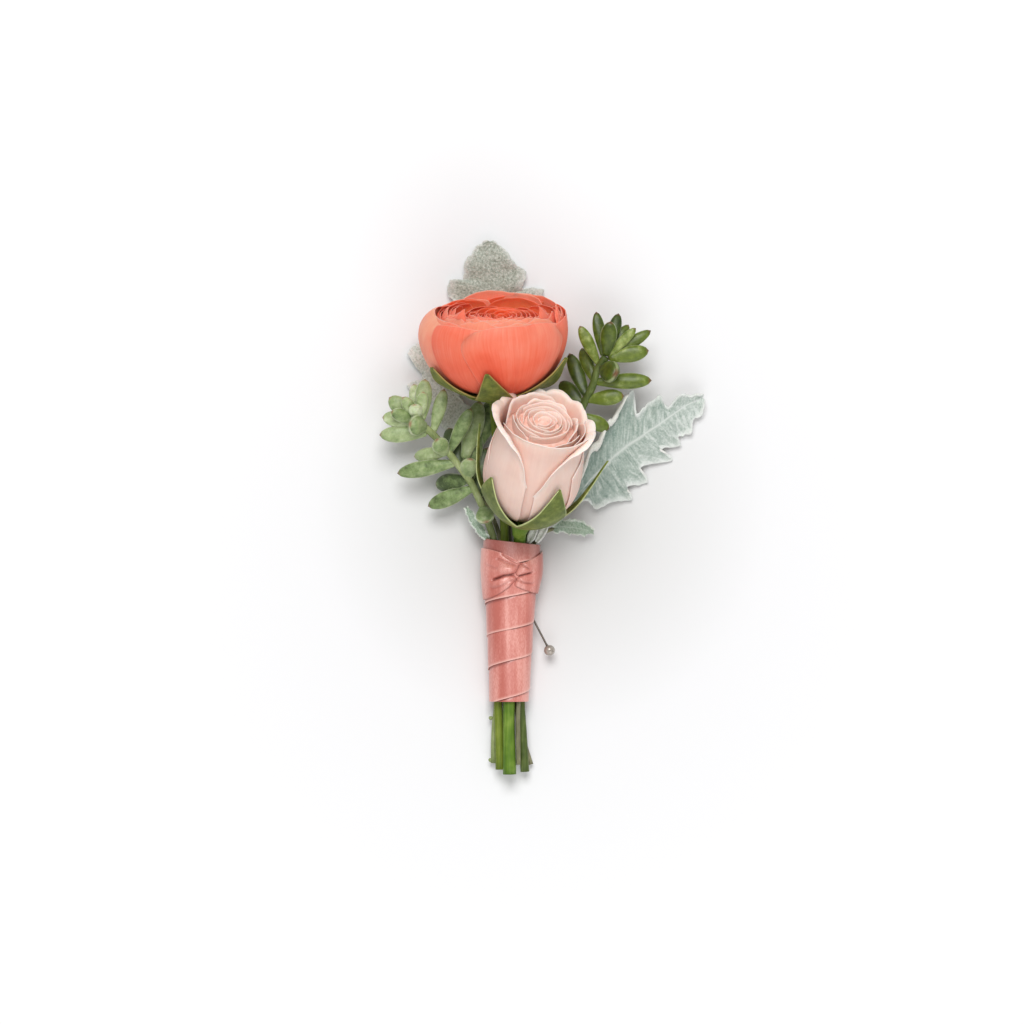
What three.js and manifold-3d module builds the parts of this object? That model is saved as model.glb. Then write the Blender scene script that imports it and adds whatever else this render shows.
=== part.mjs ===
import * as THREE from 'three';
import { mergeVertices } from 'three/addons/utils/BufferGeometryUtils.js';
import Module from 'manifold-3d';

// A boutonniere lying on its back, in millimetres. +Z is up and +Y runs from the wrap to the blooms.
// Places are measured from the middle of the wrap's top edge, on the surface that it lies on.
// At the end the whole group is moved, so that its origin is the middle of its box, at the bottom.

const wasm = await Module();
wasm.setup();

// Driving dimensions
const seat = 0.32;
const petalThickness = 0.66;
const sepalThickness = 0.7;
const leafThickness = 0.8;

// The ranunculus is a ball of petals, open at the top. Turns go round its axis from the side that faces up.
const ranunculus = {
  centre: [-4.7, 55.4, 21.3],
  tilt: 20,
  lean: 0,
  eyeShift: 1.0,
  outer: [
    { turn: 12, half: 47, radius: 19.6, rim: 14, flareLeft: -0.3, flareRight: -0.3, overlap: 0.1 },
    { turn: -62, half: 44, radius: 18.7, rim: 20, flareLeft: 1.4, flareRight: -0.4, overlap: 0.1 },
    { turn: 84, half: 42, radius: 18.7, rim: 19, flareLeft: -0.4, flareRight: 0.8, overlap: -0.1 },
    { turn: -136, half: 44, radius: 17.8, rim: 21, flareLeft: 0.4, flareRight: 0.4, overlap: 0 },
    { turn: 156, half: 46, radius: 16.9, rim: 22, flareLeft: 0.4, flareRight: 0.4, overlap: 0 },
  ],
  innerRings: [
    { petals: 5, radius: 15.0, lowest: -34, rim: 22, firstTurn: 40, half: 42, overlap: 0.5 },
    { petals: 5, radius: 13.3, lowest: -26, rim: 24, firstTurn: 5, half: 42, overlap: 0.5 },
  ],
  faceRings: [
    { petals: 5, radius: 11.2, top: 5.0, firstTurn: 25 },
    { petals: 4, radius: 9.1, top: 4.6, firstTurn: 60 },
    { petals: 4, radius: 7.0, top: 4.1, firstTurn: 10 },
    { petals: 3, radius: 4.9, top: 3.6, firstTurn: 50 },
    { petals: 2, radius: 2.8, top: 3.1, firstTurn: 0 },
  ],
  sepals: [
    { turn: -4, halfWidth: 5.2, tip: -17, reach: 20.9, spread: 0 },
    { turn: 66, halfWidth: 4.6, tip: -21, reach: 20.6, spread: 0.8 },
    { turn: -66, halfWidth: 4.6, tip: -20, reach: 20.2, spread: 0 },
    { turn: 140, halfWidth: 4.4, tip: -30, reach: 19.0, spread: 0 },
    { turn: -140, halfWidth: 4.4, tip: -30, reach: 19.3, spread: 0 },
  ],
};

// The rose is an egg of rolled petals. Heights go along its axis from the foot of the petals.
const rose = {
  foot: [2.86, 6.5, 15.6],
  tilt: 38,
  lean: 12.5,
  radius: 12.3,
  widestAt: 14.5,
  height: 33,
  petals: [
    { turn: -80, half: 75, layer: 1, foot: 0.8, tuck: 0, top: 32.6, dropLeft: 8, dropRight: 12.6,
      power: 5, flare: 4.6 },
    { turn: 78, half: 70, layer: 1, foot: 0.8, tuck: 0, top: 31, dropLeft: 15, dropRight: 7,
      power: 2.6, flare: 4.6 },
    { turn: 0, half: 62, layer: 0.91, foot: 6, tuck: 0.25, top: 32.8, dropLeft: 1.5, dropRight: 0.5,
      power: 4, flare: 2.0 },
    { turn: 163, half: 50, layer: 0.91, foot: 6, tuck: 0.25, top: 32.4, dropLeft: 4, dropRight: 4,
      power: 4, flare: 3.6 },
    { turn: -150, half: 52, layer: 0.82, foot: 6, tuck: 0.25, top: 32.6, dropLeft: 5, dropRight: 5,
      power: 4, flare: 3.0 },
    { turn: 92, half: 42, layer: 0.73, foot: 6, tuck: 0.25, top: 32.4, dropLeft: 5, dropRight: 5,
      power: 4, flare: 1.6 },
    { turn: -60, half: 44, layer: 0.73, foot: 6, tuck: 0.25, top: 32.4, dropLeft: 5, dropRight: 5,
      power: 4, flare: 1.2 },
  ],
  faceRings: [
    { petals: 3, radius: 6.0, top: 32.4, firstTurn: 20 },
    { petals: 3, radius: 4.5, top: 32.2, firstTurn: 80 },
    { petals: 2, radius: 3.0, top: 32.0, firstTurn: 10 },
    { petals: 1, radius: 1.5, top: 31.8, firstTurn: 100 },
  ],
  sepals: [
    { turn: -70, halfWidth: 3.6, path: [[2.6, -1.0], [6.9, 1.8], [10.9, 5.4], [12.9, 10], [13.5, 14.7]] },
    { turn: 34, halfWidth: 3.8, path: [[2.6, -1.0], [6.9, 1.8], [10.9, 5.4], [13.1, 11], [13.6, 19.8]] },
    { turn: -102, halfWidth: 1.2, path: [[2.4, -1.4], [8.6, 1.0], [13.4, 7.0], [15.2, 15], [16.4, 24]] },
    { turn: 98, halfWidth: 1.2, path: [[2.4, -1.6], [7.9, 0.4], [12.3, 5.2], [15.5, 13], [18.4, 21.8]] },
    { turn: 172, halfWidth: 3.4, path: [[2.6, -1.0], [6.9, 1.8], [10.9, 5.4], [12.9, 10], [13.5, 15]] },
  ],
};

// Stems, each from the cut end at the bottom to the flower or sprig that it carries
const stems = {
  rose: {
    radius: 1.55,
    route: [[-0.6, -61, 5.6], [-0.8, -50, 5.9], [-0.8, -42, 6.2], [-0.4, -32, 6.7], [0.4, -22, 7.4],
      [1.2, -12, 8.1], [1.7, -5, 8.8], [2.0, 0.5, 10.0], [2.2, 3.0, 12.2]],
  },
  ranunculus: {
    radius: 1.1,
    route: [[-3.1, -59.8, 4.2], [-3.4, -50, 4.4], [-3.6, -42, 4.6], [-3.2, -32, 5.2], [-2.7, -20, 6.0],
      [-2.2, -8, 7.0], [-1.9, 0, 7.6], [-2.4, 10, 8.2], [-3.4, 20, 9.6], [-4.3, 29, 12.0],
      [-4.7, 35.2, 14.2]],
  },
  sprigLeft: {
    radius: 0.95,
    route: [[-4.6, 0, 6.0], [-6.6, 6, 7.4], [-8.2, 10, 8.8], [-10.6, 15, 10.4], [-13.8, 19.5, 12.0],
      [-16.8, 23.4, 12.8], [-20.4, 27.6, 13.0], [-24.6, 31.2, 13.2]],
  },
  sprigLeftFoot: {
    radius: 0.6,
    route: [[-4.9, -58.2, 2.4], [-4.8, -50, 2.5], [-4.1, -42, 2.8], [-3.9, -32, 3.2], [-4.3, -20, 4.2],
      [-4.6, -8, 5.4], [-4.6, 1.5, 6.3]],
  },
  sprigRight: {
    radius: 1.0,
    route: [[3.4, -60.4, 3.6], [2.8, -50, 3.9], [2.3, -42, 4.2], [2.8, -32, 4.8], [3.4, -22, 5.5],
      [3.9, -12, 5.7], [3.6, -4, 5.1], [3.8, 1, 4.7], [6.8, 5, 4.9], [10.8, 13, 6.8], [14.8, 24, 9.4],
      [18.0, 34, 10.6], [20.8, 40, 11.8], [22.2, 44.6, 13.0], [24.4, 47.8, 14.0]],
  },
};

// The wrap's half width, half height and middle along its length
const wrap = {
  top: -0.2,
  bottom: -42,
  wall: 0.6,
  pitch: 8.5,
  firstEdge: -22.4,
  edgeLift: 0.4,
  stations: [
    { y: 2, x: -0.1, halfWidth: 7.3, halfHeight: 6.2 },
    { y: -6, x: -0.1, halfWidth: 7.4, halfHeight: 6.1 },
    { y: -14, x: -0.45, halfWidth: 6.6, halfHeight: 5.6 },
    { y: -22, x: -0.5, halfWidth: 6.0, halfHeight: 5.2 },
    { y: -32, x: -0.6, halfWidth: 5.5, halfHeight: 4.8 },
    { y: -44, x: -0.8, halfWidth: 4.9, halfHeight: 4.5 },
  ],
};
// The flat knot's two halves, from the wrap's side to the knot
const knotBands = [
  { side: { turn: -96, y: -8.8, half: 6.4 }, knot: { turn: 14, y: -8.8, half: 2.4 }, lift: 1.0 },
  { side: { turn: 96, y: -8.0, half: 5.6 }, knot: { turn: -2, y: -8.4, half: 2.2 }, lift: 1.6 },
];
const tape = { top: -1.4, bottom: -26 };

const pin = {
  entry: [5.7, -20.8, 3.9],
  direction: [0.462, -0.885, 0.03],
  outside: 7.4,
  inside: 15,
  radius: 0.33,
  headRadius: 1.45,
};

// Succulent leaves: where each one grows from, where its tip is, and its width
const sprigLeftLeaves = [
  { from: [-24.6, 31.4, 13.2], tip: [-32.0, 37.4, 13.6], width: 4.2 },
  { from: [-24.6, 31.6, 13.6], tip: [-25.2, 35.0, 19.0], width: 3.0 },
  { from: [-23.6, 31.0, 13.4], tip: [-22.6, 42.2, 14.4], width: 4.0 },
  { from: [-23.4, 31.0, 12.6], tip: [-25.6, 41.0, 10.2], width: 3.6 },
  { from: [-20.6, 28.0, 13.0], tip: [-17.6, 39.6, 13.0], width: 3.2 },
  { from: [-23.6, 30.0, 13.2], tip: [-24.2, 29.6, 20.4], width: 5.2 },
  { from: [-24.6, 31.2, 12.8], tip: [-33.8, 32.2, 12.0], width: 3.8 },
  { from: [-21.8, 28.2, 12.8], tip: [-34.6, 27.6, 11.4], width: 4.0 },
  { from: [-24.2, 31.0, 12.6], tip: [-27.6, 37.4, 7.4], width: 3.8 },
  { from: [-16.4, 23.0, 12.8], tip: [-10.6, 34.6, 13.8], width: 3.4 },
  { from: [-17.2, 23.8, 13.0], tip: [-19.4, 24.6, 18.6], width: 3.8 },
  { from: [-16.6, 23.2, 12.2], tip: [-25.6, 22.0, 7.2], width: 3.4 },
  { from: [-14.4, 20.2, 12.2], tip: [-30.0, 17.8, 8.4], width: 3.0 },
  { from: [-11.4, 16.0, 10.4], tip: [-20.0, 14.6, 4.6], width: 4.4 },
  { from: [-10.0, 13.8, 9.8], tip: [-22.0, 9.2, 6.4], width: 3.0 },
  { from: [-11.6, 16.4, 11.0], tip: [-10.8, 21.4, 14.6], width: 4.2 },
  { from: [-7.6, 9.0, 8.6], tip: [-6.6, 4.9, 13.0], width: 4.4 },
];
const sprigRightLeaves = [
  { from: [22.6, 45.8, 13.4], tip: [17.6, 56.0, 14.2], width: 3.0 },
  { from: [23.8, 47.8, 13.8], tip: [21.9, 59.7, 13.0], width: 2.9 },
  { from: [24.4, 48.0, 14.2], tip: [25.6, 57.0, 17.8], width: 3.9 },
  { from: [24.6, 48.2, 13.4], tip: [27.8, 59.3, 11.6], width: 3.2 },
  { from: [24.8, 48.0, 14.0], tip: [32.2, 55.4, 15.0], width: 2.4 },
  { from: [24.8, 48.0, 13.0], tip: [30.4, 56.4, 10.6], width: 2.8 },
  { from: [25.0, 47.8, 13.6], tip: [36.2, 54.8, 12.6], width: 2.8 },
  { from: [25.0, 47.4, 13.8], tip: [35.6, 49.6, 13.8], width: 3.9 },
  { from: [25.0, 47.6, 12.8], tip: [32.6, 50.6, 8.4], width: 3.4 },
  { from: [23.0, 45.0, 13.2], tip: [27.0, 43.4, 19.6], width: 5.2 },
  { from: [21.4, 41.4, 12.2], tip: [36.4, 41.8, 12.6], width: 3.8 },
  { from: [19.4, 36.8, 11.4], tip: [29.2, 37.8, 12.6], width: 3.8 },
  { from: [19.6, 37.2, 11.2], tip: [14.9, 49.0, 8.4], width: 3.5 },
  { from: [18.4, 35.0, 10.6], tip: [12.6, 41.6, 7.0], width: 4.0 },
  { from: [21.4, 41.4, 11.8], tip: [18.2, 50.4, 7.8], width: 3.2 },
  { from: [17.6, 32.8, 10.4], tip: [25.4, 29.2, 9.6], width: 3.6 },
];

// Dusty miller leaves: a row of points down the rib, and the lobes' tips and notches on both sides of it
const millerTop = {
  rib: [[-1.2, 26, 1.3], [-2.2, 33, 0.9], [-3.0, 38, 0.7], [-3.7, 43, 0.5], [-4.3, 48, 0.5],
    [-4.8, 53, 0.5], [-5.2, 58, 0.6], [-5.5, 62, 0.9], [-5.7, 65.5, 1.4], [-5.9, 68.5, 2.0],
    [-6, 71.5, 2.5], [-6, 75, 3.0], [-5.7, 78.4, 3.4]],
  left: [[-1.8, 26, 1.3], [-5.5, 34, 0.8], [-8.4, 42, 0.5], [-6.4, 45, 0.5], [-13, 53.5, 0.6],
    [-8.5, 56, 0.6], [-14, 62, 1.2], [-11, 63.8, 1.4], [-16.8, 67.4, 2.6], [-12.4, 68, 2.2],
    [-12, 73, 3.2], [-9.6, 76.6, 3.4], [-6.3, 78.6, 3.5]],
  right: [[-0.6, 26, 1.3], [1, 33.5, 0.8], [6, 42.5, 0.5], [1, 46, 0.5], [7.5, 54, 0.6], [0.6, 57, 0.6],
    [8, 65.6, 1.4], [2, 65.5, 1.4], [3.8, 70.4, 2.4], [0, 70.6, 2.2], [-0.4, 73.4, 2.8],
    [-2.2, 76.4, 3.2], [-5.1, 78.6, 3.4]],
  thickness: leafThickness,
  petiole: { radius: 0.6, route: [[4.9, -58.6, 1.8], [2.4, -50, 1.6], [1.0, -42, 1.5], [0.8, -32, 1.7],
    [0.6, -20, 1.9], [0.4, -8, 2.0], [0.2, 0, 2.0], [-0.4, 12, 1.7], [-1.3, 27, 1.3]] },
};
const millerLeft = {
  rib: [[-8.5, 12, 3.0], [-10.5, 18, 1.8], [-12, 22, 1.2], [-13.6, 26, 0.9], [-15.2, 30, 0.8],
    [-16.8, 33.8, 0.8], [-18.5, 37.6, 0.9], [-20, 41, 1.2], [-21.4, 44.4, 1.5], [-22.6, 47.6, 1.8],
    [-24, 51, 2.0]],
  left: [[-9.1, 12, 3.0], [-13, 19, 1.4], [-17, 24, 0.8], [-16.5, 27.5, 0.7], [-21.5, 33, 0.6],
    [-20.5, 35.8, 0.8], [-27.6, 40.3, 0.8], [-23.6, 43, 1.2], [-27, 48, 1.6], [-26.5, 50.6, 2.0],
    [-24.8, 51.8, 2.1]],
  right: [[-7.9, 12, 3.0], [-8, 18.5, 1.6], [-7.6, 25.5, 1.0], [-10.5, 28, 0.8], [-9.6, 33.6, 0.8],
    [-13, 36.5, 0.8], [-13.6, 41.4, 0.9], [-16, 43.6, 1.2], [-17.2, 48.4, 1.4], [-20, 51, 1.8],
    [-23.2, 51.8, 2.0]],
  thickness: leafThickness,
  petiole: { radius: 0.55, route: [[-2.6, -6, 4.3], [-3.0, 0, 3.9], [-5.0, 6, 3.8], [-8.7, 13, 2.8]] },
};
const millerRight = {
  rib: [[15.6, 9.9, 6.4], [19, 14.5, 5.6], [20.5, 16.2, 5.4], [22.5, 18.1, 5.2], [24.5, 20, 5.0],
    [26.5, 22, 4.8], [28.5, 23.7, 4.7], [30.5, 25.1, 4.6], [33, 26.9, 4.5], [35.5, 28.6, 4.4],
    [38.3, 30.5, 4.2], [41, 32.5, 4.0], [43.6, 34.4, 3.8], [46.2, 36, 3.6], [48.4, 37, 3.4],
    [49.9, 37.5, 3.3]],
  left: [[15.3, 10.5, 6.4], [17.6, 15.5, 6.6], [20.5, 24.7, 7.6], [24.2, 26.3, 6.6], [24.4, 31.5, 7.4],
    [26.8, 34.3, 7.0], [28.9, 37.2, 6.8], [31.7, 38.4, 6.4], [32.6, 33.2, 5.2], [36, 36.4, 5.4],
    [38.9, 38, 5.6], [40.4, 35.2, 4.6], [44.2, 38.1, 4.8], [46.8, 38.0, 4.4], [49.2, 38.4, 4.0],
    [50.2, 38.1, 3.6]],
  right: [[15.9, 9.3, 6.4], [19.9, 10.4, 4.4], [22, 8.2, 2.4], [26.5, 10.2, 2.0], [31.5, 10.8, 1.2],
    [30.2, 14, 2.0], [35.8, 15.1, 0.8], [33.8, 19.3, 2.4], [41.9, 21.2, 1.0], [39, 23.6, 2.4],
    [43.9, 25, 1.4], [43.6, 27, 2.0], [46.9, 28.3, 1.6], [47.6, 31.6, 2.4], [49.8, 33.2, 2.4],
    [50.7, 36.6, 3.0]],
  thickness: leafThickness,
  petiole: { radius: 0.55, route: [[1.7, -58.5, 6.0], [1.6, -50, 6.2], [1.7, -42, 6.3], [2.4, -32, 6.9],
    [3.1, -22, 7.6], [4.0, -12, 7.9], [4.8, -4, 7.7], [5.3, 2, 7.6], [7.6, 4.4, 7.6], [11.4, 7.4, 7.2],
    [16, 10.4, 6.4]] },
};
const millerLowRight = {
  rib: [[10.6, 3.2, 5.4], [13, 3.7, 5.0], [15.8, 3.5, 4.6], [18.8, 3.0, 4.3], [21.3, 2.3, 4.0]],
  left: [[10.5, 3.8, 5.4], [12.8, 5.5, 5.0], [15.8, 5.6, 4.8], [19.2, 4.7, 4.6], [21.6, 2.8, 4.2]],
  right: [[10.7, 2.6, 5.4], [13.6, 2.0, 4.6], [16.2, 1.5, 4.2], [19.2, 1.5, 4.0], [21.4, 1.9, 3.9]],
  thickness: leafThickness,
  petiole: { radius: 0.5, route: [[5.4, -6, 5.2], [6.0, 0, 5.6], [8.0, 2.0, 5.8], [11, 3.3, 5.3]] },
};
const millerLowLeft = {
  rib: [[-6.4, 0.6, 8.0], [-7.7, 2.0, 8.1], [-9.2, 4.0, 7.8], [-10.6, 6.4, 7.4], [-12, 8.8, 6.8]],
  left: [[-6.9, 0.3, 8.0], [-8.5, 1.4, 7.8], [-10.2, 3.4, 7.4], [-11.5, 6.0, 7.0], [-12.5, 8.7, 6.7]],
  right: [[-5.9, 0.9, 8.0], [-6.9, 2.6, 8.0], [-8.3, 4.6, 7.6], [-9.9, 6.9, 7.2], [-11.6, 9.1, 6.8]],
  thickness: leafThickness,
  petiole: { radius: 0.42, route: [[-5.2, -6, 8.0], [-5.7, -1.5, 8.1], [-6.5, 0.9, 8.0]] },
};

// Materials
function finish(colour, roughness, metalness = 0) {
  return new THREE.MeshStandardMaterial({ color: colour, roughness, metalness });
}

const coralPetal = finish(0xf4725a, 0.6);
const blushPetal = finish(0xecd0c7, 0.6);
const calyxGreen = finish(0x7d8a3a, 0.7);
const stemGreen = finish(0x6e8c34, 0.6);
const paleSucculent = finish(0x8faa7c, 0.6);
const greenSucculent = finish(0x5e7b32, 0.55);
const feltLeaf = finish(0xc2cfc9, 0.95);
const crepeTape = finish(0x5d7440, 0.85);
const coralSatin = finish(0xd98a80, 0.4);
const pinSteel = finish(0x6e665e, 0.35, 1);
const pearl = finish(0xd9d3c6, 0.25);

// Solids
function solidOf(geometry) {
  const bare = geometry.clone();
  bare.deleteAttribute('normal');
  bare.deleteAttribute('uv');
  const merged = mergeVertices(bare, 1e-4);
  const vertProperties = new Float32Array(merged.getAttribute('position').array);
  const triVerts = new Uint32Array(merged.index.array);
  const solid = new wasm.Manifold(new wasm.Mesh({ numProp: 3, vertProperties, triVerts }));
  if (solid.volume() > 0) {
    return solid;
  }
  return new wasm.Manifold(new wasm.Mesh({ numProp: 3, vertProperties, triVerts: triVerts.reverse() }));
}

// Joins solids, fills what that seals inside and drops loose scraps
function fuse(solids) {
  const joined = solids.reduce((sum, solid) => sum.add(solid));
  return mainBody(joined);
}

function mainBody(solid) {
  return solid.decompose().reduce((best, body) => (body.volume() > best.volume() ? body : best));
}

function geometryOf(solid) {
  const mesh = solid.getMesh();
  const geometry = new THREE.BufferGeometry();
  geometry.setAttribute('position', new THREE.BufferAttribute(new Float32Array(mesh.vertProperties), 3));
  geometry.setIndex(new THREE.BufferAttribute(new Uint32Array(mesh.triVerts), 1));
  return geometry;
}

// A blade through rows of points: both faces share one set of triangles, and a rim joins them
function blade(rows, thickness) {
  const along = rows.length - 1;
  const across = rows[0].length - 1;
  const sheet = new THREE.PlaneGeometry(1, 1, across, along);
  const count = (across + 1) * (along + 1);
  const front = Array.from(sheet.index.array);
  const positions = new Float32Array(count * 6);
  for (let j = 0; j <= along; j += 1) {
    for (let i = 0; i <= across; i += 1) {
      const beside = rows[j][Math.min(i + 1, across)].clone().sub(rows[j][Math.max(i - 1, 0)]);
      const ahead = rows[Math.min(j + 1, along)][i].clone().sub(rows[Math.max(j - 1, 0)][i]);
      const offset = beside.cross(ahead).normalize().multiplyScalar(thickness / 2);
      const index = (along - j) * (across + 1) + i;
      rows[j][i].clone().add(offset).toArray(positions, index * 3);
      rows[j][i].clone().sub(offset).toArray(positions, (index + count) * 3);
    }
  }
  const border = [];
  for (let i = 0; i < across; i += 1) {
    border.push(along * (across + 1) + i);
  }
  for (let j = along; j > 0; j -= 1) {
    border.push(j * (across + 1) + across);
  }
  for (let i = across; i > 0; i -= 1) {
    border.push(i);
  }
  for (let j = 0; j < along; j += 1) {
    border.push(j * (across + 1));
  }
  const triangles = front.concat(front.map((index) => index + count).reverse());
  border.forEach((start, place) => {
    const end = border[(place + 1) % border.length];
    triangles.push(end, start, start + count, end, start + count, end + count);
  });
  const geometry = new THREE.BufferGeometry();
  geometry.setAttribute('position', new THREE.BufferAttribute(positions, 3));
  geometry.setIndex(triangles);
  return solidOf(geometry);
}

// A round stem along a route, with its ends closed. A clearance round it is wider by extra on all sides.
function stem({ route, radius }, sides = 8, extra = 0) {
  const points = route.map((point) => new THREE.Vector3(...point));
  const foot = points[0].clone().sub(points[1]).setLength(extra);
  points[0].add(foot);
  const reach = extra > 0 ? (radius + extra) / Math.cos(Math.PI / sides) : radius;
  const curve = new THREE.CatmullRomCurve3(points);
  const section = new THREE.Shape();
  for (let side = 0; side < sides; side += 1) {
    const angle = (side / sides) * Math.PI * 2;
    const corner = [reach * Math.cos(angle), reach * Math.sin(angle)];
    if (side === 0) {
      section.moveTo(...corner);
    } else {
      section.lineTo(...corner);
    }
  }
  section.closePath();
  const steps = Math.max(2, Math.round(curve.getLength() / 5));
  return solidOf(new THREE.ExtrudeGeometry(section, { steps, bevelEnabled: false, extrudePath: curve }));
}

function lathe(profile, sides) {
  const points = profile.map(([radius, height]) => new THREE.Vector2(radius, height));
  const geometry = new THREE.LatheGeometry(points, sides);
  geometry.rotateX(Math.PI / 2);
  return geometry;
}

// A flower's own frame: its axis leans off +Y and tilts up, and +X stays to the right
function flowerFrame(place, tilt, lean) {
  const rise = THREE.MathUtils.degToRad(tilt);
  const sway = THREE.MathUtils.degToRad(lean);
  const level = Math.cos(rise);
  const axis = new THREE.Vector3(level * Math.sin(sway), level * Math.cos(sway), Math.sin(rise));
  const right = axis.clone().cross(new THREE.Vector3(0, 0, 1)).normalize();
  const back = axis.clone().cross(right);
  return new THREE.Matrix4().makeBasis(right, back, axis).setPosition(...place);
}

// A point round a flower's axis: turn 0 faces up and turn 90 faces right
function around(radius, turn, height, shift = 0) {
  const angle = THREE.MathUtils.degToRad(turn);
  return new THREE.Vector3(radius * Math.sin(angle) + shift, -radius * Math.cos(angle), height);
}

function grid(across, along, pointAt) {
  const rows = [];
  for (let j = 0; j <= along; j += 1) {
    const row = [];
    for (let i = 0; i <= across; i += 1) {
      row.push(pointAt((2 * i) / across - 1, j / along));
    }
    rows.push(row);
  }
  return rows;
}

// How wide a petal is on its way up: narrow at the foot, full past the middle, rounded at the top
function petalWidth(v) {
  const opened = Math.sin(Math.min(v / 0.6, 1) * (Math.PI / 2));
  const rounded = Math.max((v - 0.75) / 0.25, 0) ** 2;
  return (0.34 + 0.66 * opened) * (1 - 0.3 * rounded);
}

// Ranunculus
function ballPetal(petal, shift, across, along) {
  const { turn, half, radius, rim, overlap, lowest = -72, flareLeft = 0, flareRight = 0 } = petal;
  return blade(grid(across, along, (s, v) => {
    const latitude = THREE.MathUtils.degToRad(lowest + (rim - 6 * s ** 4 - lowest) * v);
    const flare = THREE.MathUtils.lerp(flareLeft, flareRight, (s + 1) / 2);
    const reach = radius * (1 - 0.14 * (1 - v) ** 6) - overlap * s + flare * v ** 3;
    const width = lowest < -60 ? petalWidth(v) : petalWidth(0.5 + v / 2);
    return around(reach * Math.cos(latitude), turn + s * half * width, reach * Math.sin(latitude), shift * v);
  }), petalThickness);
}

// A short petal of a flower's face: it stands on the core and curls in at its top
function facePetal({ turn, half, radius, foot, top, shift, curl }, across, along) {
  return blade(grid(across, along, (s, v) => {
    const height = foot + (top - 0.7 * s ** 2 - foot) * v;
    const reach = radius - curl * v ** 2 - 0.45 * s;
    return around(reach, turn + s * half, height, shift);
  }), petalThickness);
}

function faceRing({ petals, radius, top, firstTurn }, foot, shift, curl) {
  const ring = [];
  for (let petal = 0; petal < petals; petal += 1) {
    const turn = firstTurn + (360 / petals) * petal;
    const half = Math.min(180 / petals + 12, 150);
    ring.push(facePetal({ turn, half, radius, foot, top, shift, curl }, petals > 3 ? 3 : 4, 2));
  }
  return ring;
}

function ranunculusBloom() {
  const core = solidOf(lathe([
    [0, -16.6], [4.4, -16.6], [6.6, -14.2], [10.4, -9.6], [12.6, -6.4], [12.2, -2.4], [11.9, 0.6], [0, 0.3],
  ], 14));
  const petals = ranunculus.outer.map((petal) => ballPetal(petal, 0, 5, 5));
  ranunculus.innerRings.forEach(({ petals: number, firstTurn, ...shape }) => {
    for (let petal = 0; petal < number; petal += 1) {
      const turn = firstTurn + (360 / number) * petal;
      petals.push(ballPetal({ turn, ...shape }, ranunculus.eyeShift, 4, 3));
    }
  });
  ranunculus.faceRings.forEach((ring) => {
    petals.push(...faceRing(ring, -0.6, ranunculus.eyeShift, 0.9));
  });
  return fuse([core, ...petals]);
}

function ranunculusSepal({ turn, halfWidth, tip, reach, spread }) {
  const base = -66;
  return blade(grid(2, 5, (s, v) => {
    const latitude = THREE.MathUtils.degToRad(base + (tip - base) * v);
    const out = reach * (1 - 0.13 * (1 - v) ** 6) + spread * v ** 2;
    const ring = out * Math.cos(latitude);
    const width = THREE.MathUtils.radToDeg((halfWidth * (1 - 0.85 * v ** 1.4)) / ring);
    return around(ring, turn + s * width, out * Math.sin(latitude));
  }), sepalThickness);
}

function ranunculusStem(frame) {
  const cup = solidOf(lathe([
    [0, -20.6], [1.6, -20.6], [4.4, -18.9], [7.8, -18.0], [7.8, -17.5], [0, -17.0],
  ], 12));
  const calyx = [cup, ...ranunculus.sepals.map(ranunculusSepal)];
  return fuse([stem(stems.ranunculus), ...calyx.map((solid) => solid.transform(frame.elements))]);
}

// Rose
function eggRadius(height) {
  const toWidest = height / rose.widestAt - 1;
  if (toWidest < 0) {
    return rose.radius * (1 - toWidest ** 2) ** 0.6;
  }
  return rose.radius * (1 - 0.9 * ((height - rose.widestAt) / rose.height) ** 2);
}

function rosePetal(petal, across, along) {
  const { turn, half, layer, foot, tuck, top, dropLeft, dropRight, power, flare } = petal;
  return blade(grid(across, along, (s, v) => {
    const drop = s < 0 ? dropLeft : dropRight;
    const height = foot + (top - drop * Math.abs(s) ** power - foot) * v;
    const opened = flare * Math.max((height / rose.height - 0.72) / 0.28, 0) ** 2;
    const width = half * (0.8 + 0.2 * Math.min(v / 0.4, 1));
    const reach = eggRadius(height) * layer * (1 - tuck * (1 - v) ** 4);
    return around(reach + opened, turn + s * width, height);
  }), petalThickness);
}

function roseBloom() {
  const core = solidOf(lathe([
    [0, 0.35], [2.6, 0.35], [8.1, 5.8], [8.1, 8.4], [6.6, 11.4], [6.4, 28.4], [0, 28.8],
  ], 14));
  const petals = rose.petals.map((petal) => rosePetal(petal, 6, 5));
  rose.faceRings.forEach((ring) => {
    petals.push(...faceRing(ring, 27.6, 0, 0.7));
  });
  return fuse([core, ...petals]);
}

function roseSepal({ turn, halfWidth, path }) {
  const along = path.length - 1;
  const line = new THREE.SplineCurve(path.map(([radius, height]) => new THREE.Vector2(radius, height)));
  return blade(grid(2, along, (s, v) => {
    const { x: reach, y: height } = line.getPoint(v);
    const outline = 0.12 + 0.88 * Math.sin(Math.PI * (0.2 + 0.78 * v ** 0.8)) ** 1.3;
    const width = THREE.MathUtils.radToDeg((halfWidth * outline) / Math.max(reach, halfWidth));
    return around(reach, turn + s * width, height);
  }), sepalThickness);
}

function roseStem(frame) {
  const hip = solidOf(lathe([
    [0, -6.4], [1.75, -6.4], [2.1, -4.4], [3.0, -2.2], [3.3, -0.8], [2.9, 0], [0, 0],
  ], 12));
  const calyx = [hip, ...rose.sepals.map(roseSepal)];
  return fuse([stem(stems.rose), ...calyx.map((solid) => solid.transform(frame.elements))]);
}

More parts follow.
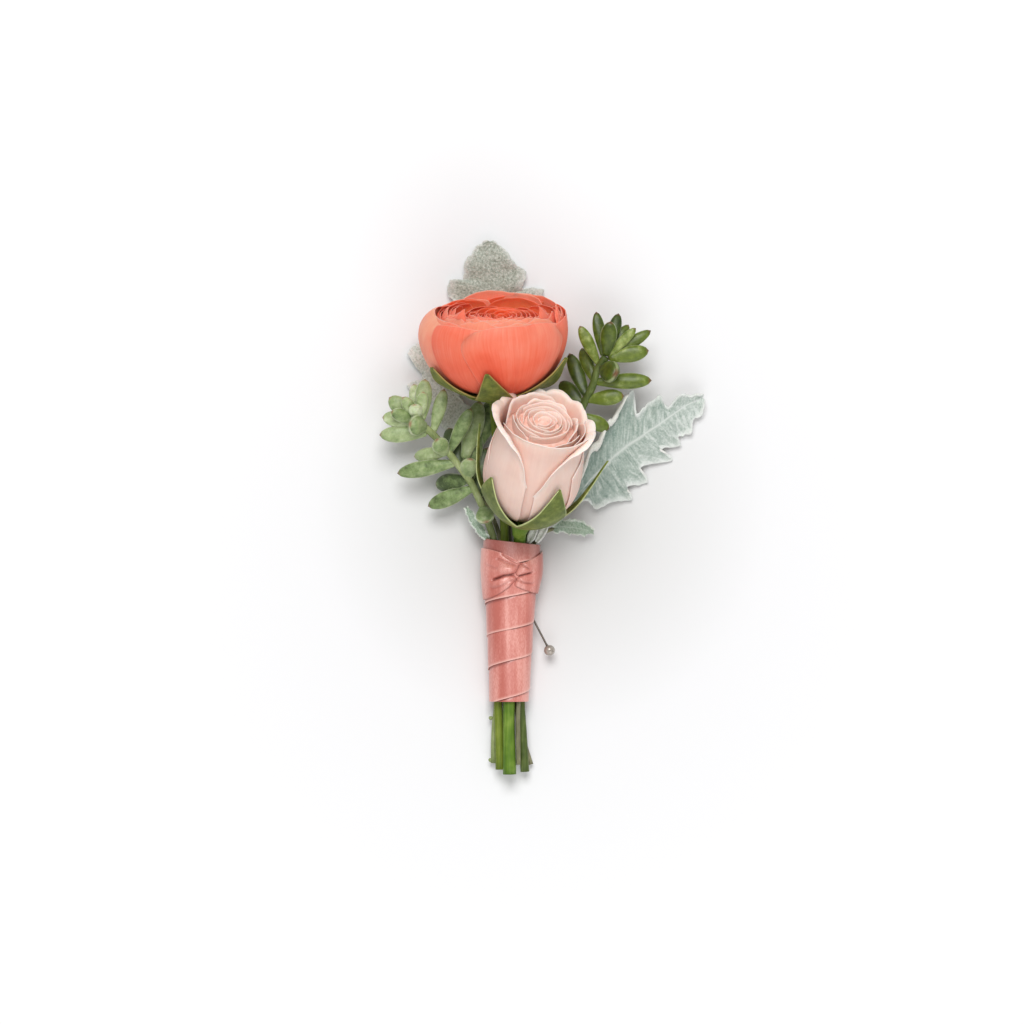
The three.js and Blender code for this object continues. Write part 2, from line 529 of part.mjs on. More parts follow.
// Succulent sprigs
function plumpLeaf({ from, tip, width }) {
  const start = new THREE.Vector3(...from);
  const line = new THREE.Vector3(...tip).sub(start);
  const length = line.length();
  const ahead = line.clone().normalize();
  const beside = new THREE.Vector3(ahead.y, -ahead.x, 0);
  if (beside.length() < 0.4) {
    beside.set(1, 0, 0);
  }
  beside.addScaledVector(ahead, -beside.dot(ahead)).normalize();
  const upper = beside.clone().cross(ahead);
  const half = width / 2;
  const fullness = [[0, 0], [0.5, 0], [1, 0.55], [0.8, 0.86], [0, 1]];
  const leaf = lathe(fullness.map(([radius, place]) => [radius * half, place * length]), 6);
  const shape = new THREE.Matrix4().makeBasis(beside, upper.multiplyScalar(0.68), ahead).setPosition(start);
  leaf.applyMatrix4(shape);
  return solidOf(leaf);
}

function leafyStem(route, foot, leaves) {
  const branches = foot ? [stem(route, 6), stem(foot, 6)] : [stem(route, 6)];
  return fuse([...branches, ...leaves.map(plumpLeaf)]);
}

// Small nubs where leaves were stripped off the left sprig's foot
function strippedNubs() {
  return [[-5.5, -46.4, 2.6], [-5.6, -57.4, 2.5]].map((place) => {
    const nub = new THREE.SphereGeometry(0.55, 6, 4);
    nub.translate(...place);
    return solidOf(nub);
  });
}

// Dusty miller leaves
function lobedLeaf({ rib, left, right, thickness, petiole }) {
  const rows = rib.map((middle, station) => {
    const centre = new THREE.Vector3(...middle);
    const leftEdge = new THREE.Vector3(...left[station]);
    const rightEdge = new THREE.Vector3(...right[station]);
    const leftMiddle = centre.clone().lerp(leftEdge, 0.5);
    const rightMiddle = centre.clone().lerp(rightEdge, 0.5);
    return [leftEdge, leftMiddle, centre, rightMiddle, rightEdge];
  });
  return fuse([blade(rows, thickness), stem(petiole, 6)]);
}

// Wrap
function wrapAt(y) {
  const { stations } = wrap;
  const found = stations.findIndex((station) => station.y <= y);
  const next = found < 0 ? stations.length - 1 : Math.max(found, 1);
  const [above, below] = [stations[next - 1], stations[next]];
  const share = THREE.MathUtils.clamp((above.y - y) / (above.y - below.y), 0, 1);
  return {
    x: THREE.MathUtils.lerp(above.x, below.x, share),
    halfWidth: THREE.MathUtils.lerp(above.halfWidth, below.halfWidth, share),
    halfHeight: THREE.MathUtils.lerp(above.halfHeight, below.halfHeight, share),
  };
}

// A point on the wrap: turn 0 is its top line and turn 90 its right side
function wrapPoint(turn, y, lift) {
  const angle = THREE.MathUtils.degToRad(turn);
  const { x, halfWidth, halfHeight } = wrapAt(y);
  const middle = halfHeight - 0.1;
  return new THREE.Vector3(
    x + (halfWidth + lift) * Math.sin(angle),
    y,
    middle + (halfHeight + lift) * Math.cos(angle),
  );
}

// A plug that fills the wrap's outline between two heights, with all its sides moved out by lift
function wrapPlug(top, bottom, lift) {
  const plug = new THREE.CylinderGeometry(1, 1, 1, 18, 4);
  const position = plug.getAttribute('position');
  for (let index = 0; index < position.count; index += 1) {
    const y = bottom + (position.getY(index) + 0.5) * (top - bottom);
    const radius = Math.hypot(position.getX(index), position.getZ(index));
    const turn = THREE.MathUtils.radToDeg(Math.atan2(position.getX(index), position.getZ(index)));
    const edge = wrapPoint(turn, y, lift);
    const centre = wrapPoint(0, y, lift).add(wrapPoint(180, y, lift)).multiplyScalar(0.5);
    const place = centre.lerp(edge, radius);
    position.setXYZ(index, place.x, place.y, place.z);
  }
  return solidOf(plug);
}

function box(low, high) {
  const size = high.map((value, axis) => value - low[axis]);
  const geometry = new THREE.BoxGeometry(...size);
  geometry.translate(...low.map((value, axis) => value + size[axis] / 2));
  return solidOf(geometry);
}

// The wound strip as one solid: each turn's lower edge stands proud of the turn below it
function woundStrip() {
  const perTurn = 18;
  const turns = 8;
  const last = perTurn * turns;
  const start = wrap.firstEdge - 4 * wrap.pitch;
  const positions = [];
  for (let step = 0; step <= last; step += 1) {
    const turn = (step / perTurn) * 360;
    const edge = start + (turn / 360) * wrap.pitch;
    positions.push(...wrapPoint(turn, edge, wrap.edgeLift).toArray());
    positions.push(...wrapPoint(turn, edge - 0.15, 0).toArray());
  }
  const proud = (step) => step * 2;
  const flush = (step) => step * 2 + 1;
  const lowCentre = (last + 1) * 2;
  const highCentre = lowCentre + 1;
  positions.push(...wrapPoint(0, start, -wrap.stations[5].halfHeight).toArray());
  positions.push(...wrapPoint(0, start + turns * wrap.pitch, -wrap.stations[0].halfHeight).toArray());
  const triangles = [];
  const quad = (a, b, c, d) => triangles.push(a, b, c, a, c, d);
  for (let step = 0; step < last; step += 1) {
    quad(flush(step), flush(step + 1), proud(step + 1), proud(step));
    if (step + perTurn < last) {
      quad(proud(step), proud(step + 1), flush(step + perTurn + 1), flush(step + perTurn));
    }
  }
  for (let step = 0; step < perTurn; step += 1) {
    triangles.push(lowCentre, flush(step + 1), flush(step));
    const top = last - perTurn + step;
    triangles.push(highCentre, proud(top), proud(top + 1));
  }
  triangles.push(lowCentre, proud(0), flush(perTurn));
  triangles.push(lowCentre, flush(0), proud(0));
  triangles.push(highCentre, proud(last), flush(last));
  triangles.push(highCentre, flush(last), proud(last - perTurn));
  const geometry = new THREE.BufferGeometry();
  geometry.setAttribute('position', new THREE.Float32BufferAttribute(positions, 3));
  geometry.setIndex(triangles);
  return solidOf(geometry);
}

// One half of the flat knot: a band that is wide at the wrap's side and gathered in at the knot
function knotBand({ side, knot, lift }) {
  return blade(grid(4, 6, (s, v) => {
    const turn = THREE.MathUtils.lerp(side.turn, knot.turn, v);
    const middle = THREE.MathUtils.lerp(side.y, knot.y, v);
    const half = THREE.MathUtils.lerp(side.half, knot.half, v ** 1.4);
    const crown = lift * Math.sin(Math.PI * (0.1 + 0.75 * v)) * (1 - 0.7 * s * s) - 0.1;
    return wrapPoint(turn, middle + s * half, crown);
  }), 1.3);
}

function satinRibbon(cleared) {
  const hollow = wrapPlug(wrap.top + 3, wrap.bottom - 3, -wrap.wall);
  const joined = fuse([woundStrip(), ...knotBands.map(knotBand)]);
  const trimmed = joined.intersect(box([-20, wrap.bottom, 0], [20, wrap.top, 30])).subtract(hollow);
  return mainBody(cleared.reduce((left, piece) => left.subtract(piece), trimmed));
}

function stemTape(cleared) {
  const plug = wrapPlug(tape.top, tape.bottom, -wrap.wall - seat);
  return mainBody(cleared.reduce((left, piece) => left.subtract(piece), plug));
}

// Pin
function pinLine() {
  const direction = new THREE.Vector3(...pin.direction).normalize();
  const entry = new THREE.Vector3(...pin.entry);
  return {
    tip: entry.clone().addScaledVector(direction, -pin.inside),
    head: entry.clone().addScaledVector(direction, pin.outside + pin.headRadius),
    direction,
  };
}

function pinShaft(extra = 0) {
  const { tip, head, direction } = pinLine();
  const length = tip.distanceTo(head) - pin.headRadius + (extra > 0 ? 0 : 0.4);
  const radius = pin.radius + extra;
  const shaft = lathe([[0, -extra], [radius * 0.4, -extra], [radius, 2.4], [radius, length], [0, length]], 8);
  const turned = new THREE.Quaternion().setFromUnitVectors(new THREE.Vector3(0, 0, 1), direction);
  shaft.applyQuaternion(turned);
  shaft.translate(...tip.toArray());
  return solidOf(shaft);
}

function pinPearl() {
  const { head, direction } = pinLine();
  const ball = new THREE.SphereGeometry(pin.headRadius, 14, 10);
  ball.translate(...head.toArray());
  const socket = lathe([[0, -3], [pin.radius + 0.2, -3], [pin.radius + 0.2, -0.6], [0, -0.6]], 8);
  socket.applyQuaternion(new THREE.Quaternion().setFromUnitVectors(new THREE.Vector3(0, 0, 1), direction));
  socket.translate(...head.toArray());
  return solidOf(ball).subtract(solidOf(socket));
}

// Assembly
const group = new THREE.Group();

function addPiece(name, solid, material) {
  const mesh = new THREE.Mesh(geometryOf(solid), material);
  mesh.name = name;
  group.add(mesh);
}

const ranunculusFrame = flowerFrame(ranunculus.centre, ranunculus.tilt, ranunculus.lean);
const roseFrame = flowerFrame(rose.foot, rose.tilt, rose.lean);
const leaves = [millerTop, millerLeft, millerRight, millerLowRight, millerLowLeft];
const bound = [
  ...Object.values(stems).map((route) => stem(route, 6, seat)),
  ...leaves.map(({ petiole }) => stem(petiole, 6, seat)),
  pinShaft(seat),
];

addPiece('ranunculus_bloom', ranunculusBloom().transform(ranunculusFrame.elements), coralPetal);
addPiece('ranunculus_stem', ranunculusStem(ranunculusFrame), calyxGreen);
addPiece('rose_bloom', roseBloom().transform(roseFrame.elements), blushPetal);
addPiece('rose_stem', roseStem(roseFrame), stemGreen);
addPiece('succulent_sprig_left', fuse([
  leafyStem(stems.sprigLeft, stems.sprigLeftFoot, sprigLeftLeaves), ...strippedNubs(),
]), paleSucculent);
addPiece('succulent_sprig_right', leafyStem(stems.sprigRight, null, sprigRightLeaves), greenSucculent);
addPiece('dusty_miller_leaf_top', lobedLeaf(millerTop), feltLeaf);
addPiece('dusty_miller_leaf_left', lobedLeaf(millerLeft), feltLeaf);
addPiece('dusty_miller_leaf_right', lobedLeaf(millerRight), feltLeaf);
addPiece('dusty_miller_leaf_low_right', lobedLeaf(millerLowRight), feltLeaf);
addPiece('dusty_miller_leaf_low_left', lobedLeaf(millerLowLeft), feltLeaf);
addPiece('stem_tape', stemTape(bound), crepeTape);
addPiece('satin_ribbon', satinRibbon(bound), coralSatin);
addPiece('pin_shaft', pinShaft(), pinSteel);
addPiece('pin_pearl', pinPearl(), pearl);

const extent = new THREE.Box3().setFromObject(group);
const middle = extent.getCenter(new THREE.Vector3());
group.position.set(-middle.x, -middle.y, -extent.min.z);

export default group;
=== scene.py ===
import math

import bmesh
import bpy
from mathutils import Matrix, Vector, noise


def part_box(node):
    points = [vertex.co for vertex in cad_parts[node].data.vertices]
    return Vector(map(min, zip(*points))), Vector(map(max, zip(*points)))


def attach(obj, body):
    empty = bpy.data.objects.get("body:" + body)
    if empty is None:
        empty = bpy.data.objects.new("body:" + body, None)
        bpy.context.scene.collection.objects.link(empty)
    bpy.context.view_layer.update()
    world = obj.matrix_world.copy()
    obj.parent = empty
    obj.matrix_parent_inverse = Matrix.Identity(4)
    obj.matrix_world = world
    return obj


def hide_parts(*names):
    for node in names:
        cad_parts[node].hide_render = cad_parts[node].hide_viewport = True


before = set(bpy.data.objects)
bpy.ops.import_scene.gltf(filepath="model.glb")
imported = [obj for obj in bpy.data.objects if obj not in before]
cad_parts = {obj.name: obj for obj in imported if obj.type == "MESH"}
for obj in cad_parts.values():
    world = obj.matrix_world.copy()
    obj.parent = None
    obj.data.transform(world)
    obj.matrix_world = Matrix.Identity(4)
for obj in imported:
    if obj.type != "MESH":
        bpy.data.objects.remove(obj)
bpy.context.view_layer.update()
print("frame loaded:", len(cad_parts), "nodes")

# Values are in millimetres, measured from the middle of the wrap's top edge. The pearl's place is known in
# these values and in the frame, and layoutShift is the way from one to the other.
pin = {
    "entry": (5.7, -20.8, 3.9),
    "direction": (0.462, -0.885, 0.03),
    "outside": 7.4,
    "inside": 15.0,
    "radius": 0.33,
    "headRadius": 1.45,
    # The wire, its collar in the bead and the bead's bore, as shares of the radius
    "wireShare": 0.76,
    "collarShare": 1.25,
    "boreShare": 1.5,
}
pinAxis = Vector(pin["direction"]).normalized()
pearlPlace = Vector(pin["entry"]) + pinAxis * (pin["outside"] + pin["headRadius"])
pearlLow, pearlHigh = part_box("pin_pearl")
layoutShift = (pearlLow + pearlHigh) * 500 - pearlPlace


def place(point):
    return (Vector(point) + layoutShift) * 0.001


# Studio: the camera looks straight down on the surface, and one photo pixel is 0.26 mm
studio = {
    "frameWidth": 266.24,
    "viewCentre": (0.0, 7.54),
    "sharpHeight": 15.0,
    "focalLength": 240.0,
    "sensor": 36.0,
    "worldStrength": 0.42,
    # Each area light: its power, size and place in metres. Both point at the middle.
    "lamps": [("key", 11.0, 0.6, (-0.05, 0.55, 1.15)), ("fill", 6.6, 1.2, (0.2, -0.9, 0.9))],
    "floorHalf": 1.6,
    # The floor's colour at distances from the middle, in metres: darker near the middle as a painted shadow
    # round the bouquet
    "floor": [(0.02, "d4d4d3"), (0.06, "e9e9ea"), (0.17, "f2f2f2")],
}


# An sRGB hex colour as linear values
def colour(hexText):
    channels = [int(hexText[i:i + 2], 16) / 255 for i in (0, 2, 4)]
    return [c / 12.92 if c <= 0.04045 else ((c + 0.055) / 1.055) ** 2.4 for c in channels] + [1.0]


def newMaterial(name):
    material = bpy.data.materials.new(name)
    material.use_nodes = True
    return material, material.node_tree


# A socket takes the output that feeds it, or a fixed value
def setSockets(tree, node, sockets):
    for socket, value in sockets.items():
        if isinstance(value, bpy.types.NodeSocket):
            tree.links.new(value, node.inputs[socket])
        else:
            node.inputs[socket].default_value = value


# Adds one node with its sockets, the stops of a colour ramp and its settings, and returns its outputs
def addNode(tree, kind, sockets=None, stops=(), **settings):
    made = tree.nodes.new("ShaderNode" + kind)
    for name, value in settings.items():
        setattr(made, name, value)
    setSockets(tree, made, sockets or {})
    if stops:
        elements = made.color_ramp.elements
        while len(elements) < len(stops):
            elements.new(1.0)
        for element, (position, hexText) in zip(elements, stops):
            element.position = position
            element.color = colour(hexText)
    return made.outputs


def setShader(tree, sockets):
    setSockets(tree, tree.nodes["Principled BSDF"], sockets)


# A blade's own map, and how far a place lies from its rib: 0 there and 0.5 at the margins
def bladeMap(tree):
    uv = addNode(tree, "UVMap", uv_map="bladeUV")
    parts = addNode(tree, "SeparateXYZ", {0: uv[0]})
    fromRib = addNode(tree, "Math", {0: parts[0], 1: 0.5}, operation="SUBTRACT")
    aside = addNode(tree, "Math", {0: fromRib[0]}, operation="ABSOLUTE")
    return uv[0], aside[0]


# Points nearer than this, in millimetres, become one
weldDistance = 1e-4


# A new bmesh with the layers that the petal and leaf materials read
def newBlades():
    bm = bmesh.new()
    bm.loops.layers.uv.new("bladeUV")
    bm.verts.layers.float.new("tint")
    bm.verts.layers.deform.verify()
    return bm


# One blade: a grid whose points are placed by pointAt(s, v), s from -1 to 1 across and v from 0 to 1 along.
# Its wall thins to the share edge at its sides and top.
def addBlade(bm, across, along, pointAt, tint=0.5, edge=0.4):
    made = bmesh.ops.create_grid(bm, x_segments=across, y_segments=along, size=1, calc_uvs=True)["verts"]
    tintLayer = bm.verts.layers.float["tint"]
    weights = bm.verts.layers.deform.active
    for vert in made:
        s, v = vert.co.x, (vert.co.y + 1) / 2
        vert[tintLayer] = tint(s, v) if callable(tint) else tint
        vert[weights][0] = 1 - (1 - edge) * max(abs(s), v) ** 6
        vert.co = pointAt(s, v)
    return made


# Turns a finished bmesh into an object in the frame, and hides the frame's nodes that it stands for. Rims
# are the material steps of the wall's inner side and its edge.
def makePiece(name, bm, materials, nodes, slot, wall=0.0, rims=(0, 0), turned=Matrix.Identity(4)):
    bmesh.ops.transform(bm, matrix=turned, verts=bm.verts)
    for vert in bm.verts:
        vert.co = place(vert.co)
    mesh = bpy.data.meshes.new(name)
    bm.to_mesh(mesh)
    bm.free()
    for material in materials:
        mesh.materials.append(material)
    mesh.shade_smooth()
    piece = bpy.data.objects.new(name, mesh)
    bpy.context.scene.collection.objects.link(piece)
    if wall:
        solid = piece.modifiers.new("wall", "SOLIDIFY")
        solid.thickness = wall * 0.001
        solid.offset = 0
        solid.use_even_offset = False
        solid.material_offset, solid.material_offset_rim = rims
        solid.vertex_group = piece.vertex_groups.new(name="fullness").name
        solid.thickness_vertex_group = 0.3
        smooth = piece.modifiers.new("smooth", "SUBSURF")
        smooth.levels = smooth.render_levels = 1
    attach(piece, "root")
    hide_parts(*nodes)
    return piece


# A flower's own frame: its axis leans off +Y and tilts up, and +X stays to the right
def flowerFrame(centre, tilt, lean):
    rise, sway = math.radians(tilt), math.radians(lean)
    axis = Vector((math.cos(rise) * math.sin(sway), math.cos(rise) * math.cos(sway), math.sin(rise)))
    right = axis.cross(Vector((0, 0, 1))).normalized()
    back = axis.cross(right)
    turned = Matrix((right, back, axis)).transposed().to_4x4()
    return Matrix.Translation(centre) @ turned


# A point round a flower's axis: turn 0 faces up and turn 90 faces right
def around(radius, turn, height, shift=0.0):
    angle = math.radians(turn)
    return Vector((radius * math.sin(angle) + shift, -radius * math.cos(angle), height))


def lerp(a, b, share):
    return a + (b - a) * share


def wave(a, b, seed):
    return noise.noise(Vector((a, b, seed * 7.31)))


# A smooth line through points, at share 0 to 1 of its way
def alongLine(points, share):
    spans = len(points) - 1
    span = min(int(share * spans), spans - 1)
    t = share * spans - span
    a, b, c, d = (Vector(points[min(max(span + k, 0), spans)]) for k in (-1, 0, 1, 2))
    if span == 0:
        a = b * 2 - c
    if span == spans - 1:
        d = c * 2 - b
    squared, cubed = 2 * a - 5 * b + 4 * c - d, 3 * b - a - 3 * c + d
    return 0.5 * (2 * b + (c - a) * t + squared * t ** 2 + cubed * t ** 3)


# A table's rows as dictionaries, named by its first row
def rowsOf(table):
    return [dict(zip(table[0], row)) for row in table[1:]]


# Coral ranunculus: millimetres and degrees, round the bloom's own axis
ranunculus = {
    "bloomNode": "ranunculus_bloom",
    "stemNode": "ranunculus_stem",
    "petalSlot": "ranunculus_petal",
    "calyxSlot": "ranunculus_calyx",
    "centre": (-4.7, 55.4, 21.3),
    "tilt": 20,
    "lean": 0,
    "eyeShift": 1.5,
    "petalWall": 0.34,
    "lowest": -72,
    "lipFrom": 0.74,
    "rimWave": 1.2,
    "creaseDepth": 0.22,
    "outerGrid": (32, 24),
    "ringGrid": (18, 10),
    "singleGrid": (14, 12),
    # Each petal: where it faces, half its width, the ball's radius, the rim's height and how far the rim
    # drops at the left and right margin, how the margins sag inwards, how the width opens upwards, how far
    # the lip curls in, its tint, and the width of its base as a share of the whole
    "outer": rowsOf([
        ("turn", "half", "radius", "rim", "drop", "sag", "fan", "curl", "tint", "base"),
        (21, 54, 19.5, 18.5, (9, 8), (0.1, 0.3), 1.5, 1.0, 0.56, 0.42),
        (-16, 47, 18.9, 16.5, (4, 3), (0.1, 0.4), 0.8, 0.7, 0.52, 0.42),
        (-92, 54, 19.6, 15, (5, 0), (2.0, 2.6), 0.7, 3.9, 0.82, 0.75),
        (95, 54, 19.3, 12, (2, 2), (0.8, 2.4), 0.7, 0.3, 0.46, 0.8),
        (126, 42, 17.7, 16, (1, 2), (0.2, 0.6), 0.7, 0.3, 0.8, 0.42),
        (176, 50, 17.3, 15.5, (1, 8), (0.3, 0.5), 0.7, 0.3, 0.85, 0.42),
        (-138, 44, 16.9, 10, (2, 2), (0.3, 0.3), 0.7, 0.3, 0.8, 0.42),
    ]),
    # Inner rings: petals, radius, lowest, rim in front and at the back (0 for none there), first turn, and
    # the point of the tip
    "innerRings": [
        (5, 17.4, -36, 19.5, 13, 12, 0.3),
        (6, 16.3, -34, 21, 12, 40, 0.6),
        (6, 15.3, -30, 22.2, 0, 72, 0.8),
        (6, 14.2, -26, 23.4, 0, 5, 0.8),
        (5, 13.0, -20, 24.4, 0, 32, 0.7),
        (5, 11.8, -14, 25.4, 10, 60, 0.4),
    ],
    # Single inner petals: turn, half width, radius, rim, drop of its margins, and the point of the tip
    "single": [
        (76, 17, 16.9, 22, 22, 1.0), (60, 15, 14.8, 30, 22, 1.0), (-52, 17, 14.6, 29, 22, 1.0),
        (86, 14, 15.6, 17, 22, 1.0), (-102, 52, 15.0, 17, 5, 0), (-110, 46, 14.0, 17, 5, 0),
        (-98, 42, 13.0, 20, 5, 0), (104, 44, 15.4, 15, 5, 0), (-100, 54, 16.4, 12, 4, 0),
    ],
    # The dense face, and its rings as petals, radius, top and first turn
    "face": {"across": 14, "foot": -0.6, "curl": 0.9, "seed": 70, "sunk": 0.225},
    "faceRings": [
        (5, 9.8, 4.7, 50), (4, 8.6, 4.5, 12), (4, 7.5, 4.3, 38), (4, 6.4, 4.0, 10), (3, 5.3, 3.7, 80),
        (3, 4.3, 3.5, 50), (3, 3.4, 3.3, 15), (2, 2.6, 3.1, 0), (2, 1.8, 3.0, 70), (1, 1.0, 2.7, 20),
    ],
    "sepalWall": 0.5,
    "sepalGrid": (12, 18),
    "sepalSeed": 40,
    "sepals": rowsOf([
        ("turn", "lean", "halfWidth", "tip", "reach", "spread", "open"),
        (6, -11, 6.2, -17, 20.4, 0.2, (0, 0)),
        (54, 12, 9.6, -15, 19.8, 1.2, (0, 1.9)),
        (-55, -3, 8.6, -22, 19.7, 0.5, (0.9, 0)),
        (140, 0, 4.4, -30, 19.0, 0, (0, 0)),
        (-140, 0, 4.4, -30, 19.3, 0, (0, 0)),
    ]),
    "hip": [(0, -20.6), (1.6, -20.6), (4.4, -18.9), (7.8, -18.0), (7.8, -17.5), (0, -17.0)],
    "core": [(0, -16.6), (4.4, -16.6), (6.6, -14.2), (10.4, -9.6), (11.8, -6.4), (11.4, -2.4), (11.0, 0.4),
             (0, 0.3)],
    "stemSeed": 3,
}


# A petal on a ball round the bloom's centre, with a wavy rim. The outer ones have a crease down the middle.
def ballPetal(petal, shift, seed):
    lowest = petal.get("lowest", ranunculus["lowest"])
    point = petal.get("point", 0.0)
    lipFrom = ranunculus["lipFrom"]

    def pointAt(s, v):
        side = 0 if s < 0 else 1
        drop = petal["drop"][side] * abs(s) ** 3
        rim = petal["rim"] - drop + ranunculus["rimWave"] * wave(s * 2.6, 0.3, seed)
        rim += point * (4 * max(1 - abs(s - 0.1) / 0.4, 0) + 2 * wave(s * 6, 0.7, seed + 1))
        latitude = math.radians(lowest + (rim - lowest) * v)
        reach = petal["radius"] * (1 - 0.14 * (1 - v) ** 6) - petal["sag"][side] * s ** 2 * v
        reach -= petal["curl"] * max((v - lipFrom) / (1 - lipFrom), 0) ** 2
        reach += 0.45 * wave(s * 1.8, v * 2.2, seed + 3) * v + 0.3 * wave(s * 6, v, seed + 9) * v ** 8
        if "base" in petal:
            crease = math.exp(-(s / 0.05) ** 2) * math.sin(math.pi * min(v * 1.1, 1))
            reach -= ranunculus["creaseDepth"] * crease
            width = petal["base"] + (1 - petal["base"]) * v ** petal["fan"]
            width *= 1 - 0.16 * max((v - 0.8) / 0.2, 0) ** 2
        else:
            width = 0.75 + 0.25 * math.sin(math.pi * v)
        return around(reach * math.cos(latitude), petal["turn"] + s * petal["half"] * width,
                      reach * math.sin(latitude), shift * v)

    return pointAt


# A petal of the dense face. Where the face is sunk, its outer rings are lower at the back.
def facePetal(radius, top, turn, half, face, shift, seed):
    def pointAt(s, v):
        away = face["sunk"] * max(radius - 5, 0) * (1 - math.cos(math.radians(turn + s * half)))
        rim = top - away - 0.9 * s ** 2 + 0.5 * wave(s * 2, 0, seed)
        height = face["foot"] + (rim - face["foot"]) * v
        reach = radius - face["curl"] * v ** 2 - 0.45 * s + 0.25 * wave(s * 2.5, v, seed + 5) * v
        return around(max(reach, 0.25), turn + s * half, height, shift)

    return pointAt


# The rings of a face. Its petals overlap by a few degrees at each side.
def addFace(bm, flower, shiftOf, tintOf):
    face, overlap, widest = flower["face"], 12, 150
    for ringIndex, (petals, radius, top, firstTurn) in enumerate(flower["faceRings"]):
        half = min(180 / petals + overlap, widest)
        for number in range(petals):
            turn = firstTurn + 360 / petals * number
            seed = face["seed"] + ringIndex * 5 + number
            shape = facePetal(radius, top, turn, half, face, shiftOf(ringIndex), seed)
            addBlade(bm, face["across"], 6, shape, tintOf(ringIndex, turn), 0.4)


def ranunculusSepal(sepal, seed):
    def pointAt(s, v):
        latitude = math.radians(lerp(-66, sepal["tip"], v))
        out = sepal["reach"] * (1 - 0.13 * (1 - v) ** 6) + sepal["spread"] * v ** 2
        out += sepal["open"][0 if s < 0 else 1] * s ** 2 * math.sin(math.pi * min(v + 0.2, 1))
        out += 0.3 * s ** 2 * v + 0.3 * wave(s, v * 3, seed) * v - 0.15 * math.exp(-(s / 0.15) ** 2)
        ring = out * math.cos(latitude)
        outline = (1 - 0.92 * v ** 1.7) * (1 + 0.14 * wave(v * 4, s, seed + 2))
        width = math.degrees(sepal["halfWidth"] * outline / ring)
        return around(ring, sepal["turn"] + sepal["lean"] * v + s * width, out * math.sin(latitude))

    return pointAt


# Spins a profile of (radius, height) points round an axis from a place
def addTurned(bm, profile, steps, origin=(0, 0, 0), axis=(0, 0, 1)):
    verts = [bm.verts.new((radius, 0, height)) for radius, height in profile]
    edges = [bm.edges.new(pair) for pair in zip(verts, verts[1:])]
    bmesh.ops.spin(bm, geom=verts + edges, cent=(0, 0, 0), axis=(0, 0, 1), dvec=(0, 0, 0),
                   angle=2 * math.pi, steps=steps, use_merge=True)
    turned = Vector((0, 0, 1)).rotation_difference(Vector(axis)).to_matrix().to_4x4()
    reached = set(verts)
    edge = list(verts)
    while edge:
        near = {other for vert in edge for link in vert.link_edges for other in link.verts} - reached
        reached |= near
        edge = list(near)
    bmesh.ops.remove_doubles(bm, verts=list(reached), dist=weldDistance)
    kept = [vert for vert in reached if vert.is_valid]
    bmesh.ops.transform(bm, matrix=Matrix.Translation(origin) @ turned, verts=kept)
    bmesh.ops.recalc_face_normals(bm, faces=list({face for vert in kept for face in vert.link_faces}))


# Petals are thin living tissue, soft and slightly see-through: light spreads in them and their folds glow.
# Their cells run in fine streaks from the foot to the rim, under 1 mm apart, over patches of 5 mm.
def petalMaterial(name, stops, streakSize, streakStrength, scatter, roughness, footHex, footEnd):
    material, tree = newMaterial(name)
    uv = addNode(tree, "UVMap", uv_map="bladeUV")
    parts = addNode(tree, "SeparateXYZ", {0: uv[0]})
    tint = addNode(tree, "Attribute", attribute_name="tint")
    point = addNode(tree, "TexCoord")
    spread = addNode(tree, "Mapping", {0: uv[0], "Scale": streakSize})
    shifted = addNode(tree, "VectorMath", {0: spread[0], 1: tint[1]}, operation="ADD")
    streaks = addNode(tree, "TexNoise",
                      {"Vector": shifted[0], "Scale": 1.0, "Detail": 4.0, "Roughness": 0.6})
    streakPart = addNode(tree, "Math", {0: streaks[0], 1: streakStrength, 2: -streakStrength / 2},
                         operation="MULTIPLY_ADD")
    patch = addNode(tree, "TexNoise", {"Vector": point[3], "Scale": 190.0, "Detail": 2.0})
    patchPart = addNode(tree, "Math", {0: patch[0], 1: 0.3, 2: -0.15}, operation="MULTIPLY_ADD")
    streaked = addNode(tree, "Math", {0: tint[2], 1: streakPart[0]}, operation="ADD")
    level = addNode(tree, "Math", {0: streaked[0], 1: patchPart[0]}, operation="ADD")
    ramp = addNode(tree, "ValToRGB", {0: level[0]}, stops)
    foot = addNode(tree, "MapRange", {0: parts[1], 1: 0.0, 2: footEnd, 3: 1.0, 4: 0.0},
                   interpolation_type="SMOOTHSTEP")
    base = addNode(tree, "Mix", {0: foot[0], 6: ramp[0], 7: colour(footHex)}, data_type="RGBA")
    bump = addNode(tree, "Bump", {"Height": streaks[0], "Strength": 0.35, "Distance": 0.00012})
    setShader(tree, {"Base Color": base[2], "Normal": bump[0], "Roughness": roughness, "IOR": 1.42,
                     "Specular IOR Level": 0.3, "Sheen Weight": 0.05, "Sheen Roughness": 0.5,
                     "Subsurface Weight": 0.35, "Subsurface Radius": scatter, "Subsurface Scale": 0.0012})
    return material


ranunculusSkin = petalMaterial(
    "ranunculus petal, outer skin",
    [(0.0, "cc4529"), (0.3, "e4583b"), (0.5, "ef6c50"), (0.7, "f4836a"), (1.0, "f9a888")],
    (60.0, 2.2, 1.0), 0.34, (1.0, 0.35, 0.22), 0.55, "d47c64", 0.34)
ranunculusInside = petalMaterial(
    "ranunculus petal, inner skin",
    [(0.0, "f25c34"), (0.3, "ff7044"), (0.6, "ff8458"), (1.0, "ffa68c")],
    (45.0, 2.0, 1.0), 0.3, (1.0, 0.3, 0.2), 0.5, "dc5433", 0.3)
ranunculusEdge = petalMaterial(
    "ranunculus petal, cut edge",
    [(0.0, "e65c40"), (0.5, "f3806a"), (1.0, "f9ab98")],
    (40.0, 2.0, 1.0), 0.2, (1.0, 0.4, 0.25), 0.55, "e0705a", 0.2)


